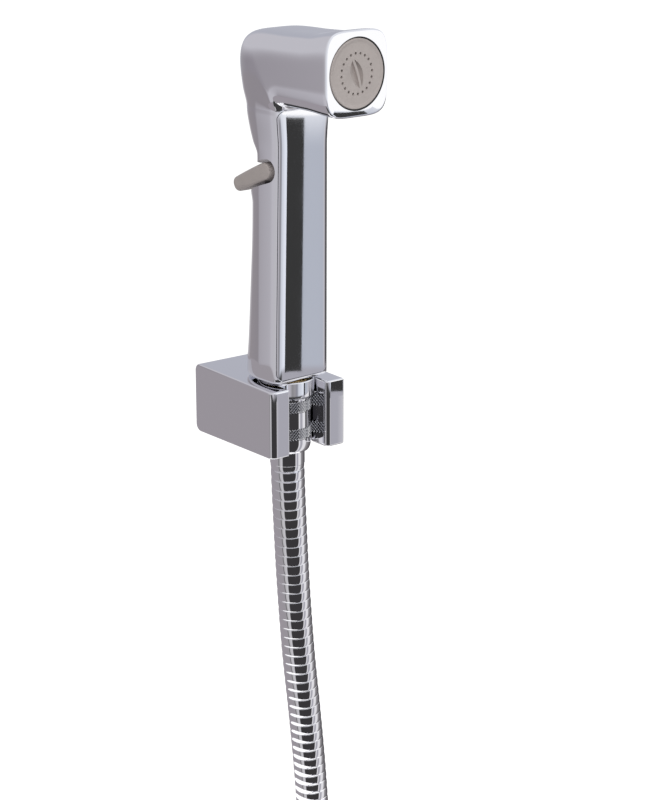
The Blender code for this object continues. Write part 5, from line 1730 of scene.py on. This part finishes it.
def soft_lamp(scene, name, spot, target, size, power):
    lamp = bpy.data.lights.new(name, "AREA")
    lamp.energy = power
    lamp.size = size
    obj = bpy.data.objects.new(name, lamp)
    scene.collection.objects.link(obj)
    obj.location = spot
    aim = Vector(target) - Vector(spot)
    obj.rotation_euler = aim.to_track_quat("-Z", "Y").to_euler()
    obj.visible_glossy = False


def make_studio(scene):
    studio = scene.bidet_studio
    camera = bpy.data.cameras.new("photo_camera")
    camera.sensor_fit = "VERTICAL"
    camera.sensor_height = 36.0
    camera.lens = studio.focal_length
    camera.clip_start = 0.01
    camera.clip_end = 100.0
    obj = bpy.data.objects.new("photo_camera", camera)
    scene.collection.objects.link(obj)
    obj.location = studio.camera_spot
    obj.rotation_euler = (0.5 * math.pi - studio.camera_pitch, 0.0, -studio.camera_turn)
    scene.camera = obj
    scene.view_settings.view_transform = "Standard"
    make_world(scene)
    make_floor()
    make_surround()
    middle = (0.0, -0.04, 0.06)
    soft_lamp(scene, "key_lamp", (-0.75, -1.0, 1.0), middle, 0.8, studio.key_power)
    soft_lamp(scene, "fill_lamp", (1.1, -0.9, 0.5), middle, 0.9, studio.fill_power)


# Operators
class MakeStudio(bpy.types.Operator):
    """Set up the floor, the light, the surround and the camera"""

    bl_idname = "bidet.make_studio"
    bl_label = "Studio"

    def execute(self, context):
        make_studio(context.scene)
        return {"FINISHED"}


class MakeHose(bpy.types.Operator):
    """Make the corrugated hose with its two ferrules"""

    bl_idname = "bidet.make_hose"
    bl_label = "Hose and ferrules"

    def execute(self, context):
        scene = context.scene
        fittings = make_ferrules(scene)
        for name in ("upper_tail", "lower_tail", "tap_nut", "tap_washer"):
            fittings.append(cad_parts[name])
        make_hose(scene)
        return {"FINISHED"}


class MakeShell(bpy.types.Operator):
    """Make the handset's chrome shell and its front panel"""

    bl_idname = "bidet.make_shell"
    bl_label = "Shell and panel"

    def execute(self, context):
        make_shell(context.scene)
        make_panel(context.scene)
        return {"FINISHED"}


class MakeSprayPlate(bpy.types.Operator):
    """Make the nozzle plate with its jets and finger grip"""

    bl_idname = "bidet.make_spray_plate"
    bl_label = "Nozzle plate"

    def execute(self, context):
        make_spray_plate(context.scene)
        return {"FINISHED"}


class MakeTrigger(bpy.types.Operator):
    """Make the trigger"""

    bl_idname = "bidet.make_trigger"
    bl_label = "Trigger"

    def execute(self, context):
        make_trigger(context.scene)
        return {"FINISHED"}


class MakeConeNut(bpy.types.Operator):
    """Make the cone nut with its two knurled bands"""

    bl_idname = "bidet.make_cone_nut"
    bl_label = "Cone nut"

    def execute(self, context):
        make_cone_nut(context.scene)
        return {"FINISHED"}


class MakeHolder(bpy.types.Operator):
    """Make the wall holder"""

    bl_idname = "bidet.make_holder"
    bl_label = "Wall holder"

    def execute(self, context):
        make_holder(context.scene)
        return {"FINISHED"}


class PaintInnerPieces(bpy.types.Operator):
    """Paint the valve, the seals and the other solids that nothing replaces"""

    bl_idname = "bidet.paint_inner_pieces"
    bl_label = "Inner pieces"

    def execute(self, context):
        paint_kept(context.scene)
        return {"FINISHED"}


OPERATORS = (
    MakeStudio, MakeHose, MakeShell, MakeSprayPlate, MakeTrigger, MakeConeNut, MakeHolder, PaintInnerPieces,
)


class BidetPanel(bpy.types.Panel):
    """Lists the makers and the settings"""

    bl_idname = "VIEW3D_PT_bidet_shower"
    bl_label = "Bidet shower"
    bl_space_type = "VIEW_3D"
    bl_region_type = "UI"
    bl_category = "Bidet shower"

    def draw(self, context):
        for operator in OPERATORS:
            self.layout.operator(operator.bl_idname)
        for name, group in SETTINGS.items():
            part = self.layout.box()
            part.label(text=group.__doc__)
            settings = getattr(context.scene, name)
            for key in group.__annotations__:
                part.prop(settings, key)


def register():
    for name, group in SETTINGS.items():
        bpy.utils.register_class(group)
        setattr(bpy.types.Scene, name, bpy.props.PointerProperty(type=group))
    for operator in OPERATORS:
        bpy.utils.register_class(operator)
    bpy.utils.register_class(BidetPanel)


def unregister():
    bpy.utils.unregister_class(BidetPanel)
    for operator in reversed(OPERATORS):
        bpy.utils.unregister_class(operator)
    for name, group in reversed(list(SETTINGS.items())):
        delattr(bpy.types.Scene, name)
        bpy.utils.unregister_class(group)


def main():
    register()
    bpy.ops.bidet.make_studio()
    bpy.ops.bidet.make_hose()
    bpy.ops.bidet.make_shell()
    bpy.ops.bidet.make_spray_plate()
    bpy.ops.bidet.make_trigger()
    bpy.ops.bidet.make_cone_nut()
    bpy.ops.bidet.make_holder()
    bpy.ops.bidet.paint_inner_pieces()


if __name__ == "__main__":
    main()
